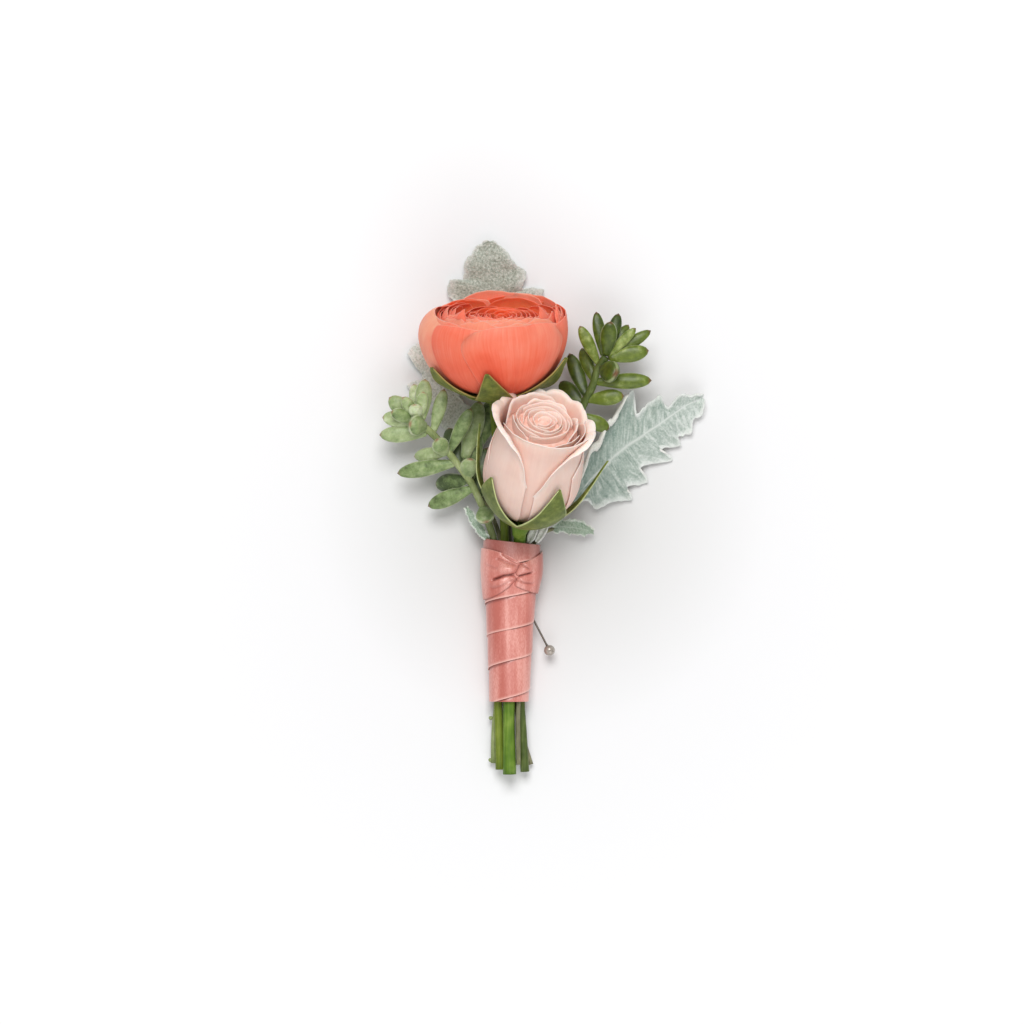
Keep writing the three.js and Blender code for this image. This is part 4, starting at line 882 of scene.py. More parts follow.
# Succulent leaf skin: juicy tissue under a bloom of powdery wax, which makes the green milky and dull. It is
# mottled in patches of 2 mm, with a pale margin, a dry brown tip and pores of 0.4 mm.
def succulentMaterial(name, tones, marginHex, tipHex, tipFrom, roughness, bloom):
    material, tree = newMaterial(name)
    point = addNode(tree, "TexCoord")
    tint, along, edge = (addNode(tree, "Attribute", attribute_name=layer)[2]
                         for layer in ("tint", "along", "edge"))
    mottle = addNode(tree, "TexNoise",
                     {"Vector": point[3], "Scale": 520.0, "Detail": 5.0, "Roughness": 0.65})
    lean = addNode(tree, "Math", {0: tint, 1: 0.5}, operation="MULTIPLY")
    level = addNode(tree, "Math", {0: mottle[0], 1: 0.5, 2: lean[0]}, operation="MULTIPLY_ADD")
    ramp = addNode(tree, "ValToRGB", {0: level[0]}, list(zip((0.3, 0.43, 0.57, 0.7), tones)))
    ragged = addNode(tree, "Math", {0: mottle[0], 1: 0.25, 2: edge}, operation="MULTIPLY_ADD")
    margin = addNode(tree, "MapRange", {0: ragged[0], 1: 0.75, 2: 1.15, 3: 0.0, 4: 0.7},
                     interpolation_type="SMOOTHSTEP")
    edged = addNode(tree, "Mix", {0: margin[0], 6: ramp[0], 7: colour(marginHex)}, data_type="RGBA")
    tipPart = addNode(tree, "Math", {0: mottle[0], 1: 0.06, 2: along}, operation="MULTIPLY_ADD")
    tip = addNode(tree, "MapRange", {0: tipPart[0], 1: tipFrom, 2: tipFrom + 0.08, 3: 0.0, 4: 0.85},
                  interpolation_type="SMOOTHSTEP")
    base = addNode(tree, "Mix", {0: tip[0], 6: edged[2], 7: colour(tipHex)}, data_type="RGBA")
    pores = addNode(tree, "TexNoise", {"Vector": point[3], "Scale": 2400.0, "Detail": 2.0})
    relief = addNode(tree, "Math", {0: pores[0], 1: 0.3, 2: mottle[0]}, operation="MULTIPLY_ADD")
    bump = addNode(tree, "Bump", {"Height": relief[0], "Strength": 0.45, "Distance": 0.00015})
    setShader(tree, {"Base Color": base[2], "Normal": bump[0], "Roughness": roughness, "IOR": 1.42,
                     "Subsurface Weight": 0.25, "Subsurface Radius": (0.5, 0.8, 0.3),
                     "Subsurface Scale": 0.001, "Sheen Weight": bloom, "Sheen Roughness": 0.5})
    return material


paleSucculent = succulentMaterial("pale succulent skin, wax bloom", ("42522c", "7b8f5a", "a8b686", "d0d9b6"),
                                  "c6cea8", "94604a", 0.955, 0.4, 0.15)
greenSucculent = succulentMaterial("green succulent skin", ("2d3e10", "475814", "687928", "9ca962"),
                                   "a9b484", "70402c", 0.945, 0.36, 0.06)


def buildSprig(name, leaves, routes, nubs, skin, stemSkin, node, slot, seed):
    bm = newBlades()
    bm.verts.layers.float.new("along")
    bm.verts.layers.float.new("edge")
    for index, (start, tip, width) in enumerate(leaves):
        addPlumpLeaf(bm, start, tip, width, seed + index)
    makePiece(name + "Leaves", bm, [skin], [node], slot)
    stalk = newBlades()
    for index, (route, cut) in enumerate(routes):
        addStem(stalk, **route, seed=seed + 50 + index, swell=sprigs["stemSwell"], cut=cut)
    for nub in nubs:
        made = bmesh.ops.create_icosphere(stalk, subdivisions=3, radius=sprigs["nubRadius"])["verts"]
        for vert in made:
            vert.co = vert.co * (1 + 0.25 * wave(vert.co.x * 2, vert.co.y * 2, 4)) + Vector(nub)
    makePiece(name + "Stalk", stalk, [stemSkin, pithCut], [node], slot)


buildSprig("sprigLeft", sprigs["left"], [(stems["sprigLeft"], False), (stems["sprigLeftFoot"], True)],
           sprigs["nubs"], paleSucculent, paleStem, "succulent_sprig_left", "pale_succulent", 200)
buildSprig("sprigRight", sprigs["right"], [(stems["sprigRight"], True)], [],
           greenSucculent, darkStem, "succulent_sprig_right", "green_succulent", 240)
print("succulent sprigs made")

# Dusty miller leaves: points down the rib, and the lobes' tips and notches on both sides of it
millers = {
    "Top": {
        "node": "dusty_miller_leaf_top",
        "rows": 8, "columns": 24, "thick": 0.7, "curl": 0.2, "radius": 0.6,
        "rib": [(-1.2, 26, 1.3), (-2.2, 33, 0.9), (-3.0, 38, 0.7), (-3.7, 43, 0.5), (-4.3, 48, 0.5),
                (-4.8, 53, 0.5), (-5.2, 58, 0.6), (-5.5, 62, 0.9), (-5.7, 65.5, 1.4), (-5.9, 68.5, 2.0),
                (-6, 71.5, 2.5), (-6, 75, 3.0), (-5.7, 78.4, 3.4)],
        "left": [(-1.8, 26, 1.3), (-5.5, 34, 0.8), (-8.4, 42, 0.5), (-6.4, 45, 0.5), (-13, 53.5, 0.6),
                 (-8.5, 56, 0.6), (-14.6, 62, 1.2), (-16.8, 64.6, 2.3), (-16.3, 68.2, 2.7),
                 (-12.9, 68.4, 2.3), (-12, 72.8, 3.2), (-9.7, 76.5, 3.4), (-6.3, 78.6, 3.5)],
        "right": [(-0.6, 26, 1.3), (1, 33.5, 0.8), (6, 42.5, 0.5), (1, 46, 0.5), (7.5, 54, 0.6),
                  (0.6, 57, 0.6), (8.0, 64.4, 1.3), (6.2, 66.4, 1.6), (3.0, 66.2, 1.8),
                  (3.7, 70.6, 2.4), (0.6, 72.6, 2.7), (-1.6, 76.2, 3.2), (-5.1, 78.6, 3.4)],
        "petiole": [(4.9, -58.6, 1.8), (2.4, -50, 1.6), (1.0, -42, 1.5), (0.8, -32, 1.7), (0.4, -20, 1.9),
                    (-0.4, -8, 2.0), (-0.7, 0, 2.0), (-0.9, 12, 1.7), (-1.3, 27, 1.3)],
    },
    "Left": {
        "node": "dusty_miller_leaf_left",
        "rows": 7, "columns": 24, "thick": 0.7, "curl": 0.2, "radius": 0.55, "lighter": 0.5,
        "rib": [(-8.5, 12, 3.0), (-10.5, 18, 1.8), (-12, 22, 1.2), (-13.6, 26, 0.9), (-15.2, 30, 0.8),
                (-16.8, 33.8, 0.8), (-18.5, 37.6, 0.9), (-20, 41, 1.2), (-21.4, 44.4, 1.5),
                (-22.6, 47.6, 1.8), (-24, 51, 2.0)],
        "left": [(-9.1, 12, 3.0), (-13, 19, 1.4), (-17, 24, 0.8), (-16.5, 27.5, 0.7), (-21.5, 33, 0.6),
                 (-20.5, 35.8, 0.8), (-27.6, 40.3, 0.8), (-23.6, 43, 1.2), (-27, 48, 1.6),
                 (-26.5, 50.6, 2.0), (-24.8, 51.8, 2.1)],
        "right": [(-7.9, 12, 3.0), (-8, 18.5, 1.6), (-7.6, 25.5, 1.0), (-10.5, 28, 0.8), (-9.6, 33.6, 0.8),
                  (-13, 36.5, 0.8), (-13.6, 41.4, 0.9), (-16, 43.6, 1.2), (-17.2, 48.4, 1.4), (-20, 51, 1.8),
                  (-23.2, 51.8, 2.0)],
        "petiole": [(-2.6, -6, 4.3), (-3.0, 0, 3.9), (-5.0, 6, 3.8), (-8.7, 13, 2.8)],
    },
    "Right": {
        "node": "dusty_miller_leaf_right",
        "rows": 8, "columns": 34, "thick": 0.65, "curl": 0.4, "radius": 0.55, "lighter": -0.05,
        "paler": 0.75, "rolled": 1,
        "rib": [(15.6, 9.9, 6.4), (19, 14.5, 5.6), (20.5, 16.2, 5.4), (22.5, 18.1, 5.2), (24.5, 20, 5.0),
                (26.5, 22, 4.8), (28.5, 23.7, 4.7), (30.5, 25.1, 4.6), (33, 26.9, 4.5), (35.5, 28.6, 4.4),
                (38.3, 30.5, 4.2), (41, 32.5, 4.0), (43.6, 34.4, 3.8), (46.2, 36, 3.6), (48.4, 37, 3.4),
                (49.9, 37.5, 3.3)],
        "left": [(15.3, 10.5, 6.4), (17.6, 15.5, 6.6), (20.5, 24.7, 7.6), (22.8, 27.2, 7.0),
                 (24.4, 31.5, 7.4), (26.8, 34.3, 7.0), (28.9, 37.2, 6.8), (31.7, 38.4, 6.4),
                 (32.6, 33.2, 5.2), (36, 36.4, 5.4), (38.9, 38, 5.6), (40.4, 35.2, 4.6),
                 (44.2, 38.1, 4.8), (46.8, 38.0, 4.4), (49.2, 38.4, 4.0), (50.2, 38.1, 3.6)],
        "right": [(15.9, 9.3, 6.4), (19.9, 10.4, 4.4), (22, 8.2, 2.4), (26.5, 10.2, 2.0), (31.5, 10.8, 1.2),
                  (30.2, 14, 2.0), (35.8, 15.1, 0.8), (33.8, 19.3, 2.4), (41.9, 21.2, 1.0), (39, 23.6, 2.4),
                  (43.9, 25, 1.4), (43.6, 27, 2.0), (46.9, 28.3, 1.6), (47.6, 31.6, 2.4), (49.8, 33.2, 2.4),
                  (50.7, 36.6, 3.0)],
        "wings": [((4.2, -0.6, 8.9), (6.4, 4.0, 8.9), 0.9), ((6.4, -0.4, 8.3), (9.2, 4.2, 8.2), 0.8)],
        "petiole": [(1.7, -58.5, 6.0), (1.6, -50, 6.2), (1.7, -42, 6.3), (2.4, -32, 6.9), (3.1, -22, 7.6),
                    (4.0, -12, 7.9), (4.8, -4, 7.7), (5.3, 2, 7.6), (7.6, 4.4, 7.6), (11.4, 7.4, 7.2),
                    (16, 10.4, 6.4)],
    },
    "LowRight": {
        "node": "dusty_miller_leaf_low_right",
        "rows": 10, "columns": 20, "thick": 0.6, "curl": 0.3, "radius": 0.5,
        "rib": [(10.6, 3.2, 5.4), (13, 3.7, 5.0), (15.8, 3.5, 4.6), (18.8, 3.0, 4.3), (21.3, 2.3, 4.0)],
        "left": [(10.5, 3.8, 5.4), (12.8, 5.5, 5.0), (15.8, 5.6, 4.8), (19.2, 4.7, 4.6), (21.6, 2.8, 4.2)],
        "right": [(10.7, 2.6, 5.4), (13.6, 2.0, 4.6), (16.2, 1.5, 4.2), (19.2, 1.5, 4.0), (21.4, 1.9, 3.9)],
        "petiole": [(5.4, -6, 5.2), (6.0, 0, 5.6), (8.0, 2.0, 5.8), (11, 3.3, 5.3)],
    },
    "LowLeft": {
        "node": "dusty_miller_leaf_low_left",
        "rows": 10, "columns": 16, "thick": 0.6, "curl": 0.3, "radius": 0.42,
        "rib": [(-6.4, 0.6, 8.0), (-7.7, 2.0, 8.1), (-9.2, 4.0, 7.8), (-10.6, 6.4, 7.4), (-12, 8.8, 6.8)],
        "left": [(-6.9, 0.3, 8.0), (-8.5, 1.4, 7.8), (-10.2, 3.4, 7.4), (-11.5, 6.0, 7.0),
                 (-12.5, 8.7, 6.7)],
        "right": [(-5.9, 0.9, 8.0), (-6.9, 2.6, 8.0), (-8.3, 4.6, 7.6), (-9.9, 6.9, 7.2), (-11.6, 9.1, 6.8)],
        "petiole": [(-5.2, -6, 8.0), (-5.7, -1.5, 8.1), (-6.5, 0.9, 8.0)],
    },
}


# The rolled upper margin of the large leaf: where across it the roll starts, its turn in radians, its radius
leafRoll = {"from": 0.68, "turn": 4.7, "radius": 1.15}


# Dusty miller: grey-green leaf under a mat of white hairs, thickest on the rib and the margins, so it looks
# matt and silvery. The hairs, 0.02 mm thick, are too fine to show and are drawn as tufts of 0.6 mm.
def feltMaterial(name, tones, hairHex, ribShare, veinShare):
    material, tree = newMaterial(name)
    uv, aside = bladeMap(tree)
    tint = addNode(tree, "Attribute", attribute_name="tint")
    point = addNode(tree, "TexCoord")
    hairs = addNode(tree, "TexNoise",
                    {"Vector": point[3], "Scale": 1700.0, "Detail": 5.0, "Roughness": 0.75})
    ridges = addNode(tree, "Mapping", {0: uv, "Scale": (5.0, 46.0, 1.0)})
    veins = addNode(tree, "TexNoise", {"Vector": ridges[0], "Scale": 1.0, "Detail": 4.0, "Distortion": 0.6})
    part = addNode(tree, "Math", {0: veins[0], 1: veinShare}, operation="MULTIPLY")
    mixed = addNode(tree, "Math", {0: hairs[0], 1: 1 - veinShare, 2: part[0]}, operation="MULTIPLY_ADD")
    tone = addNode(tree, "Math", {0: tint[2], 1: 0.3, 2: -0.15}, operation="MULTIPLY_ADD")
    level = addNode(tree, "Math", {0: mixed[0], 1: tone[0]}, operation="ADD")
    ramp = addNode(tree, "ValToRGB", {0: level[0]}, list(zip((0.34, 0.5, 0.66, 0.84), tones)))
    ragged = addNode(tree, "Math", {0: mixed[0], 1: 0.1, 2: aside}, operation="MULTIPLY_ADD")
    margin = addNode(tree, "MapRange", {0: ragged[0], 1: 0.36, 2: 0.58, 3: 0.0, 4: 0.7},
                     interpolation_type="SMOOTHSTEP")
    rib = addNode(tree, "MapRange", {0: ragged[0], 1: 0.05, 2: 0.068, 3: ribShare, 4: 0.0},
                  interpolation_type="SMOOTHSTEP")
    pale = addNode(tree, "Math", {0: margin[0], 1: rib[0]}, operation="MAXIMUM")
    base = addNode(tree, "Mix", {0: pale[0], 6: ramp[0], 7: colour(hairHex)}, data_type="RGBA")
    bump = addNode(tree, "Bump", {"Height": mixed[0], "Strength": 0.9, "Distance": 0.0004})
    setShader(tree, {"Base Color": base[2], "Normal": bump[0], "Roughness": 0.95, "IOR": 1.4,
                     "Sheen Weight": 0.4, "Sheen Roughness": 0.4, "Subsurface Weight": 0.1,
                     "Subsurface Radius": (0.5, 0.6, 0.5), "Subsurface Scale": 0.0008})
    return material


feltBright = feltMaterial("dusty miller felt, silvery", ("7d8f85", "a1aea5", "cdd4ce"), "eceeea", 0.45, 0.55)
feltGrey = feltMaterial("dusty miller felt, grey", ("7f8678", "b1b8ab", "dde1d8", "f4f5f0"),
                        "e6e8e3", 0.0, 0.08)
feltGreen = feltMaterial("dusty miller felt, green-grey", ("738a72", "9aac98", "c3cdbf"), "e6eae2", 0.5, 0.4)
feltWool = feltMaterial("dusty miller wool, underside", ("bfc0b4", "dcddd4", "f1f1ec"), "efefe9", 0.0, 0.25)


# A small folded lobe at the foot of a leaf, V-shaped across
def millerWing(foot, tip, half, seed):
    ahead = (tip - foot).normalized()
    beside = ahead.cross(Vector((0, 0, 1))).normalized()

    def pointAt(s, v):
        width = half * (0.45 + 0.75 * math.sin(math.pi * min(v, 0.9))) * (1 + 0.3 * wave(v * 5, s, seed))
        fold = 0.9 * abs(s) * half * (1 - 0.5 * v) + 0.3 * wave(v * 4, s * 2, seed + 1)
        return foot.lerp(tip, v) + beside * s * width + Vector((0, 0, fold))

    return pointAt


def buildMiller(name, leaf, skin, seed):
    bm = newBlades()
    lobes = len(leaf["rib"]) - 1
    lowest = leaf["thick"] / 2 + 0.08
    paler, lighter = leaf.get("paler", 0), leaf.get("lighter", 0)

    def pointAt(s, v):
        side = "left" if s < 0 else "right"
        reach = abs(s) ** 0.75
        rib, margin = alongLine(leaf["rib"], v), alongLine(leaf[side], v)
        outwards = (margin - rib).normalized()
        rolled = leaf.get("rolled", 0) * max(math.sin(math.pi * min(v / 0.49, 1)), 0) if s < 0 else 0
        bend = leafRoll["turn"] * min(max((reach - leafRoll["from"]) / (1 - leafRoll["from"]), 0), 1)
        bend *= min(rolled * 1.6, 1) * (1 + 0.1 * math.sin(v * 44))
        bendRadius = leafRoll["radius"] * (1 + 0.22 * math.sin(v * 31 + 1))
        point = rib.lerp(margin, min(reach, lerp(1, 0.8, rolled)))
        point += outwards * bendRadius * math.sin(bend) + Vector((0, 0, bendRadius * (1 - math.cos(bend))))
        point.z += leaf["curl"] * max((reach - 0.72) / 0.28, 0) ** 2 * (1 if s < 0 else 0.4)
        point.z += 0.45 * reach * math.sin(v * lobes * math.pi + (1.6 if s < 0 else 0.2))
        point.z += 0.7 * wave(point.x * 0.3, point.y * 0.3, seed) * reach - 0.15 * math.exp(-(s / 0.06) ** 2)
        ragged = 0.5 * wave(v * lobes * 1.6, s * 2, seed + 2)
        ragged += 0.9 * wave(v * lobes * 7, s * 2, seed + 4) * reach ** 4
        point += outwards * ragged * reach
        if point.z < 2 * lowest:  # Eased so that the leaf rests on the table and isn't under it
            point.z = 2 * lowest - lowest * (1 - math.exp((point.z - 2 * lowest) / lowest))
        return point

    def tintAt(s, v):
        return 0.5 + lighter + paler * (v - 0.4 + 0.2 * s)

    addBlade(bm, leaf["columns"], lobes * leaf["rows"], pointAt, tintAt, 0.8)
    for number, (foot, tip, half) in enumerate(leaf.get("wings", [])):
        wing = addBlade(bm, 8, 12, millerWing(Vector(foot), Vector(tip), half, seed + 20 + number), 0.5, 0.8)
        for face in {face for vert in wing for face in vert.link_faces}:
            face.material_index = 1
    makePiece("miller" + name, bm, [skin, feltWool], [leaf["node"]], "felted_leaf", leaf["thick"], (1, 0))
    stalk = newBlades()
    addStem(stalk, leaf["petiole"], leaf["radius"], sides=12, seed=seed + 9, cut=name in ("Top", "Right"))
    makePiece("millerPetiole" + name, stalk, [brownPetiole, pithCut], [leaf["node"]], "felted_leaf")


for index, (name, leaf) in enumerate(millers.items()):
    skin = {"Top": feltGrey, "Left": feltGrey, "Right": feltBright}.get(name, feltGreen)
    buildMiller(name, leaf, skin, 300 + index * 11)
print("dusty miller leaves made")

# Ribbon: one satin strip, wound down the stems, and its two ends tied flat at the top front
ribbon = {
    "width": 16.0,
    "length": 247.0,
    "wall": 0.16,
    "top": -0.2,
    "bottom": -42.0,
    "topSlope": -0.85,
    "edgeLift": 0.5,
    "knotLift": 0.44,
    "knotTuck": 1.5,
    # Under the height pressedUnder the wrap is pressed flat on the table: what is left of the depth over
    # -pressedDepth is pressedShare, on top of pressedTo
    "pressedUnder": 0.4,
    "pressedTo": 0.12,
    "pressedDepth": 0.7,
    "pressedShare": 0.255,
    # Where the lower edge of each turn crosses the top line, from the bottom turn up
    "edges": [-59.4, -50.2, -40.9, -31.2, -23.0, -14.4, -5.9, 2.6],
    # y, middle x, half width, half height
    "stations": [
        (2, -0.1, 7.3, 6.2), (-6, -0.1, 7.4, 6.1), (-14, -0.45, 6.6, 5.6), (-22, -0.5, 6.0, 5.2),
        (-32, -0.6, 5.5, 4.8), (-44, -0.8, 4.9, 4.5),
    ],
    # Each half of the knot: its turn at the side, its upper and lower edge there and at the knot with how
    # late it closes in, how far it stands off, and where it ends beside the middle crease
    "bands": rowsOf([
        ("turn", "upper", "lower", "flat", "past", "seed"),
        (-98, (-1.8, -6.0, 2.6), (-15.5, -10.6, 2.8), 0.5, 1.5, 1),
        (98, (-2.4, -6.0, 1.2), (-13.9, -11.4, 2.4), 0.6, -1.5, 2),
    ]),
    # The knot's middle crease, as y and x, then its other creases as depth, width and points, and its puffs
    # as place, size and height
    "middle": [(-5.4, 2.4), (-6.2, 1.9), (-8.6, 0.8), (-9.8, 1.2), (-11.4, 0.3)],
    "creases": [
        (1.3, 0.3, [(-4.2, -10.1), (-1.8, -9.0), (0.6, -8.7)]),
        (1.05, 0.27, [(1.2, -9.3), (4.2, -8.3)]),
        (0.6, 0.24, [(-2.2, -3.4), (-0.4, -4.8), (1.2, -5.7)]),
        (0.5, 0.24, [(-3.4, -4.6), (-1.2, -5.6), (0.8, -6.3)]),
        (0.5, 0.22, [(2.4, -6.1), (3.6, -7.2)]),
        (0.5, 0.24, [(1.0, -10.3), (2.8, -11.0), (4.6, -11.2)]),
        (0.3, 0.3, [(-0.4, -10.4), (-2.6, -11.8), (-4.6, -12.4)]),
        (0.25, 0.3, [(-6.2, -6.2), (-3.4, -7.2)]),
    ],
    "puffs": [
        (-1.2, -7.4, 2.3, 1.2, 1.15), (3.0, -7.5, 1.3, 1.0, 0.85), (2.2, -10.3, 1.5, 0.9, 0.6),
        (-2.4, -11.0, 2.4, 1.3, 0.65), (-5.0, -8.6, 1.9, 2.8, 0.35), (5.4, -8.4, 1.9, 2.8, 0.5),
        (0.2, -9.7, 0.8, 0.6, 0.6),
    ],
}


def wrapAt(y):
    stations = ribbon["stations"]
    for above, below in zip(stations, stations[1:]):
        if y >= below[0] or below is stations[-1]:
            share = min(max((above[0] - y) / (above[0] - below[0]), 0), 1)
            return [lerp(a, b, share) for a, b in zip(above[1:], below[1:])]


# A point on the wrap: turn 0 is its top line and turn 90 its right side
def wrapPoint(turn, y, lift):
    angle = math.radians(turn)
    x, halfWidth, halfHeight = wrapAt(y)
    z = halfHeight - 0.1 + (halfHeight + lift) * math.cos(angle)
    if z < ribbon["pressedUnder"]:
        z = ribbon["pressedTo"] + (z + ribbon["pressedDepth"]) * ribbon["pressedShare"]
    return Vector((x + (halfWidth + lift) * math.sin(angle), y, z))


def middleCrease(y):
    line = ribbon["middle"]
    for (above, xAbove), (below, xBelow) in zip(line, line[1:]):
        if y >= below or below == line[-1][0]:
            return lerp(xAbove, xBelow, min(max((above - y) / (above - below), 0), 1))


def creaseDepth(x, y):
    total = 0.0
    for depth, width, line in ribbon["creases"]:
        away = min(distanceTo(Vector((x, y)), Vector(a), Vector(b)) for a, b in zip(line, line[1:]))
        total += depth * math.exp(-(away / width) ** 2)
    return total


# How far the knot's puffs and creases take its surface out or in at x, y
def knotRelief(x, y):
    height = -creaseDepth(x, y)
    for middleX, middleY, sizeX, sizeY, rise in ribbon["puffs"]:
        height += rise * math.exp(-((x - middleX) / sizeX) ** 2 - ((y - middleY) / sizeY) ** 2)
    return height


def distanceTo(point, start, end):
    share = min(max((point - start).dot(end - start) / (end - start).length_squared, 0), 1)
    return (point - start.lerp(end, share)).length


# Satin: long floats of silky thread along the ribbon give it a soft band of light, and streaks of painted
# sheen in its colour add to it. The threads, 0.1 mm apart, are drawn 0.3 mm wide to show. The tint is over
# 0.5 for a painted highlight on the picot edge and under it for painted shade in the folds and under the
# edges.
def satinMaterial():
    material, tree = newMaterial("coral satin ribbon")
    fold = addNode(tree, "Attribute", attribute_name="tint")
    point = addNode(tree, "TexCoord")
    floats = addNode(tree, "Mapping", {0: point[3], "Scale": (1.0, 0.35, 1.0)})
    threads = addNode(tree, "TexNoise",
                      {"Vector": floats[0], "Scale": 3600.0, "Detail": 3.0, "Roughness": 0.6})
    # Painted sheen: streaks long along the ribbon lighten its colour through the ramp
    bands = addNode(tree, "Mapping", {0: point[3], "Scale": (1.0, 0.08, 0.4)})
    paintedSheen = addNode(tree, "TexNoise", {"Vector": bands[0], "Scale": 330.0, "Detail": 2.0})
    paintedSheenPart = addNode(tree, "Math", {0: paintedSheen[0], 1: 0.7}, operation="MULTIPLY")
    level = addNode(tree, "Math", {0: threads[0], 1: 0.3, 2: paintedSheenPart[0]}, operation="MULTIPLY_ADD")
    ramp = addNode(tree, "ValToRGB", {0: level[0]}, [(0.38, "bd6659"), (0.5, "cf7f73"), (0.6, "e39f93")])
    # Painted highlight on the picot edge, where the tint is over 0.5
    paintedPicotHighlight = addNode(tree, "MapRange", {0: fold[2], 1: 0.5, 2: 1.0, 3: 0.0, 4: 0.8})
    edged = addNode(tree, "Mix", {0: paintedPicotHighlight[0], 6: ramp[0], 7: colour("f3c2b6")}, data_type="RGBA")
    # Painted shade in the folds and under the edges, where the tint is under 0.5: darkened towards 6f2f28
    depth = addNode(tree, "MapRange", {0: fold[2], 1: 0.0, 2: 0.5, 3: 0.85, 4: 0.0})
    base = addNode(tree, "Mix", {0: depth[0], 6: edged[2], 7: colour("6f2f28")}, data_type="RGBA")
    bump = addNode(tree, "Bump", {"Height": threads[0], "Strength": 0.3, "Distance": 0.00005})
    setShader(tree, {"Base Color": base[2], "Normal": bump[0], "Roughness": 0.36, "IOR": 1.5,
                     "Sheen Weight": 0.2, "Sheen Roughness": 0.35, "Specular IOR Level": 0.9})
    return material


def buildRibbon():
    bm = newBlades()
    edges, width, bottom = (ribbon[name] for name in ("edges", "width", "bottom"))
    turns = len(edges) - 1

    def lowerEdge(turn):
        share = min(max(turn / 360, 0), turns - 1e-6)
        low, high = edges[int(share)], edges[int(share) + 1]
        return lerp(low, high, share - int(share)), high - low

    # Rows are closer together at the lower edge and where the next turn's edge lies
    def stripSpot(s, v):
        turn = lerp(90, turns * 360 - 110, v)
        edge, pitch = lowerEdge(turn)
        top = ribbon["top"] + ribbon["topSlope"] * math.sin(math.radians(turn))
        low, high = max(min(edge, top - 0.3), bottom), max(min(edge + width, top), bottom + 0.3)
        share = (s + 1) / 1.4
        if share < 1:
            share = (share - 0.12 * math.sin(2 * math.pi * share)) * pitch / width
        else:
            share = lerp(pitch / width, 1, (share - 1) / 0.4286)
        y = low + (high - low) * share
        return turn, y, y - edge, pitch

    def strip(s, v):
        turn, y, above, pitch = stripSpot(s, v)
        facing = 0.35 + 0.65 * abs(math.cos(math.radians(turn)))
        lift = ribbon["edgeLift"] * facing * max(1 - above / pitch, 0)
        lift -= 0.16 * max(min((above - pitch + 0.4) / 0.4, 1), 0) + 0.1 * max(above - pitch, 0) / pitch
        lift += 0.07 * wave(turn / 34, y * 0.25, 5) * max(1 - above / pitch, 0.2)
        lift += 0.05 * math.sin(turn * 2.4) * math.exp(-(max(above, 0) / 0.5) ** 2)
        return wrapPoint(turn, y, lift)

    def stripPaintedHighlightAndShade(s, v):
        turn, y, above, pitch = stripSpot(s, v)
        # Painted highlight along the picot of each turn's lower edge
        paintedPicotHighlight = max(1 - max(above, 0) / 0.45, 0) ** 0.5
        # Painted shadow just under the next turn's overlapping edge
        under = math.exp(-((above - pitch) / 0.35) ** 2)
        # Painted shade over the top of the wrap, under the blooms: darker above y = -6
        return 0.5 + 0.5 * paintedPicotHighlight - 0.3 * under - 0.25 * min(max((y + 6) / 3, 0), 1)

    def bandSpot(shape, s, v):
        upper = lerp(shape["upper"][0], shape["upper"][1], v ** shape["upper"][2])
        lower = lerp(shape["lower"][0], shape["lower"][1], v ** shape["lower"][2])
        y = lerp(lower, upper, (s + 1) / 2)
        x, halfWidth, _ = wrapAt(y)
        end = math.degrees(math.asin((middleCrease(y) - x) / halfWidth)) + shape["past"]
        turn = lerp(shape["turn"], end, v ** 0.9)
        return turn, x + halfWidth * math.sin(math.radians(turn)), y

    def band(shape):
        def pointAt(s, v):
            turn, x, y = bandSpot(shape, s, v)
            crown = shape["flat"] * math.sin(math.pi * (0.14 + 0.4 * v)) * (1 - 0.6 * s ** 4)
            crown += knotRelief(x, y) + 0.08 * wave(x * 0.6, y * 0.6, shape["seed"])
            tuck = ribbon["knotTuck"] * max((v - 0.88) / 0.12, 0) ** 2
            return wrapPoint(turn, y, crown + ribbon["knotLift"] - tuck)

        return pointAt

    def bandPaintedHighlightAndShade(shape):
        def tintAt(s, v):
            _, x, y = bandSpot(shape, s, v)
            # Painted shade in the creases, at the middle crease and along the lower margin, and a painted
            # highlight on the upper edge
            folded = min(creaseDepth(x, y) + math.exp(-((1 - v) / 0.035) ** 2), 1)
            lowest = max((-s - 0.93) / 0.07, 0)
            return 0.5 - 0.42 * max(folded, 0.8 * lowest) + 0.2 * max((s - 0.95) / 0.05, 0) * (1 - folded)

        return tintAt

    addBlade(bm, 22, 250, strip, stripPaintedHighlightAndShade, 1.0)
    for shape in ribbon["bands"]:
        addBlade(bm, 44, 50, band(shape), bandPaintedHighlightAndShade(shape), 1.0)
    piece = makePiece("satinRibbon", bm, [satinMaterial()], ["satin_ribbon"], "satin_ribbon", ribbon["wall"])


buildRibbon()
print("ribbon made")


# Floral tape: crepe paper, stretched and tacky with wax, dull with fine creases across it, 0.4 mm apart
def tapeMaterial():
    material, tree = newMaterial("floral stem tape, waxed crepe paper")
    point = addNode(tree, "TexCoord")
    creases = addNode(tree, "Mapping", {0: point[3], "Scale": (0.12, 1.0, 0.12)})
    crepe = addNode(tree, "TexNoise", {"Vector": creases[0], "Scale": 2600.0, "Detail": 3.0})
    ramp = addNode(tree, "ValToRGB", {0: crepe[0]}, [(0.35, "4a5f32"), (0.65, "6c8450")])
    bump = addNode(tree, "Bump", {"Height": crepe[0], "Strength": 0.7, "Distance": 0.0001})
    setShader(tree, {"Base Color": ramp[0], "Normal": bump[0], "Roughness": 0.7})
    return material


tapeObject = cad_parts["stem_tape"]
tapeObject.data.materials.clear()
tapeObject.data.materials.append(tapeMaterial())


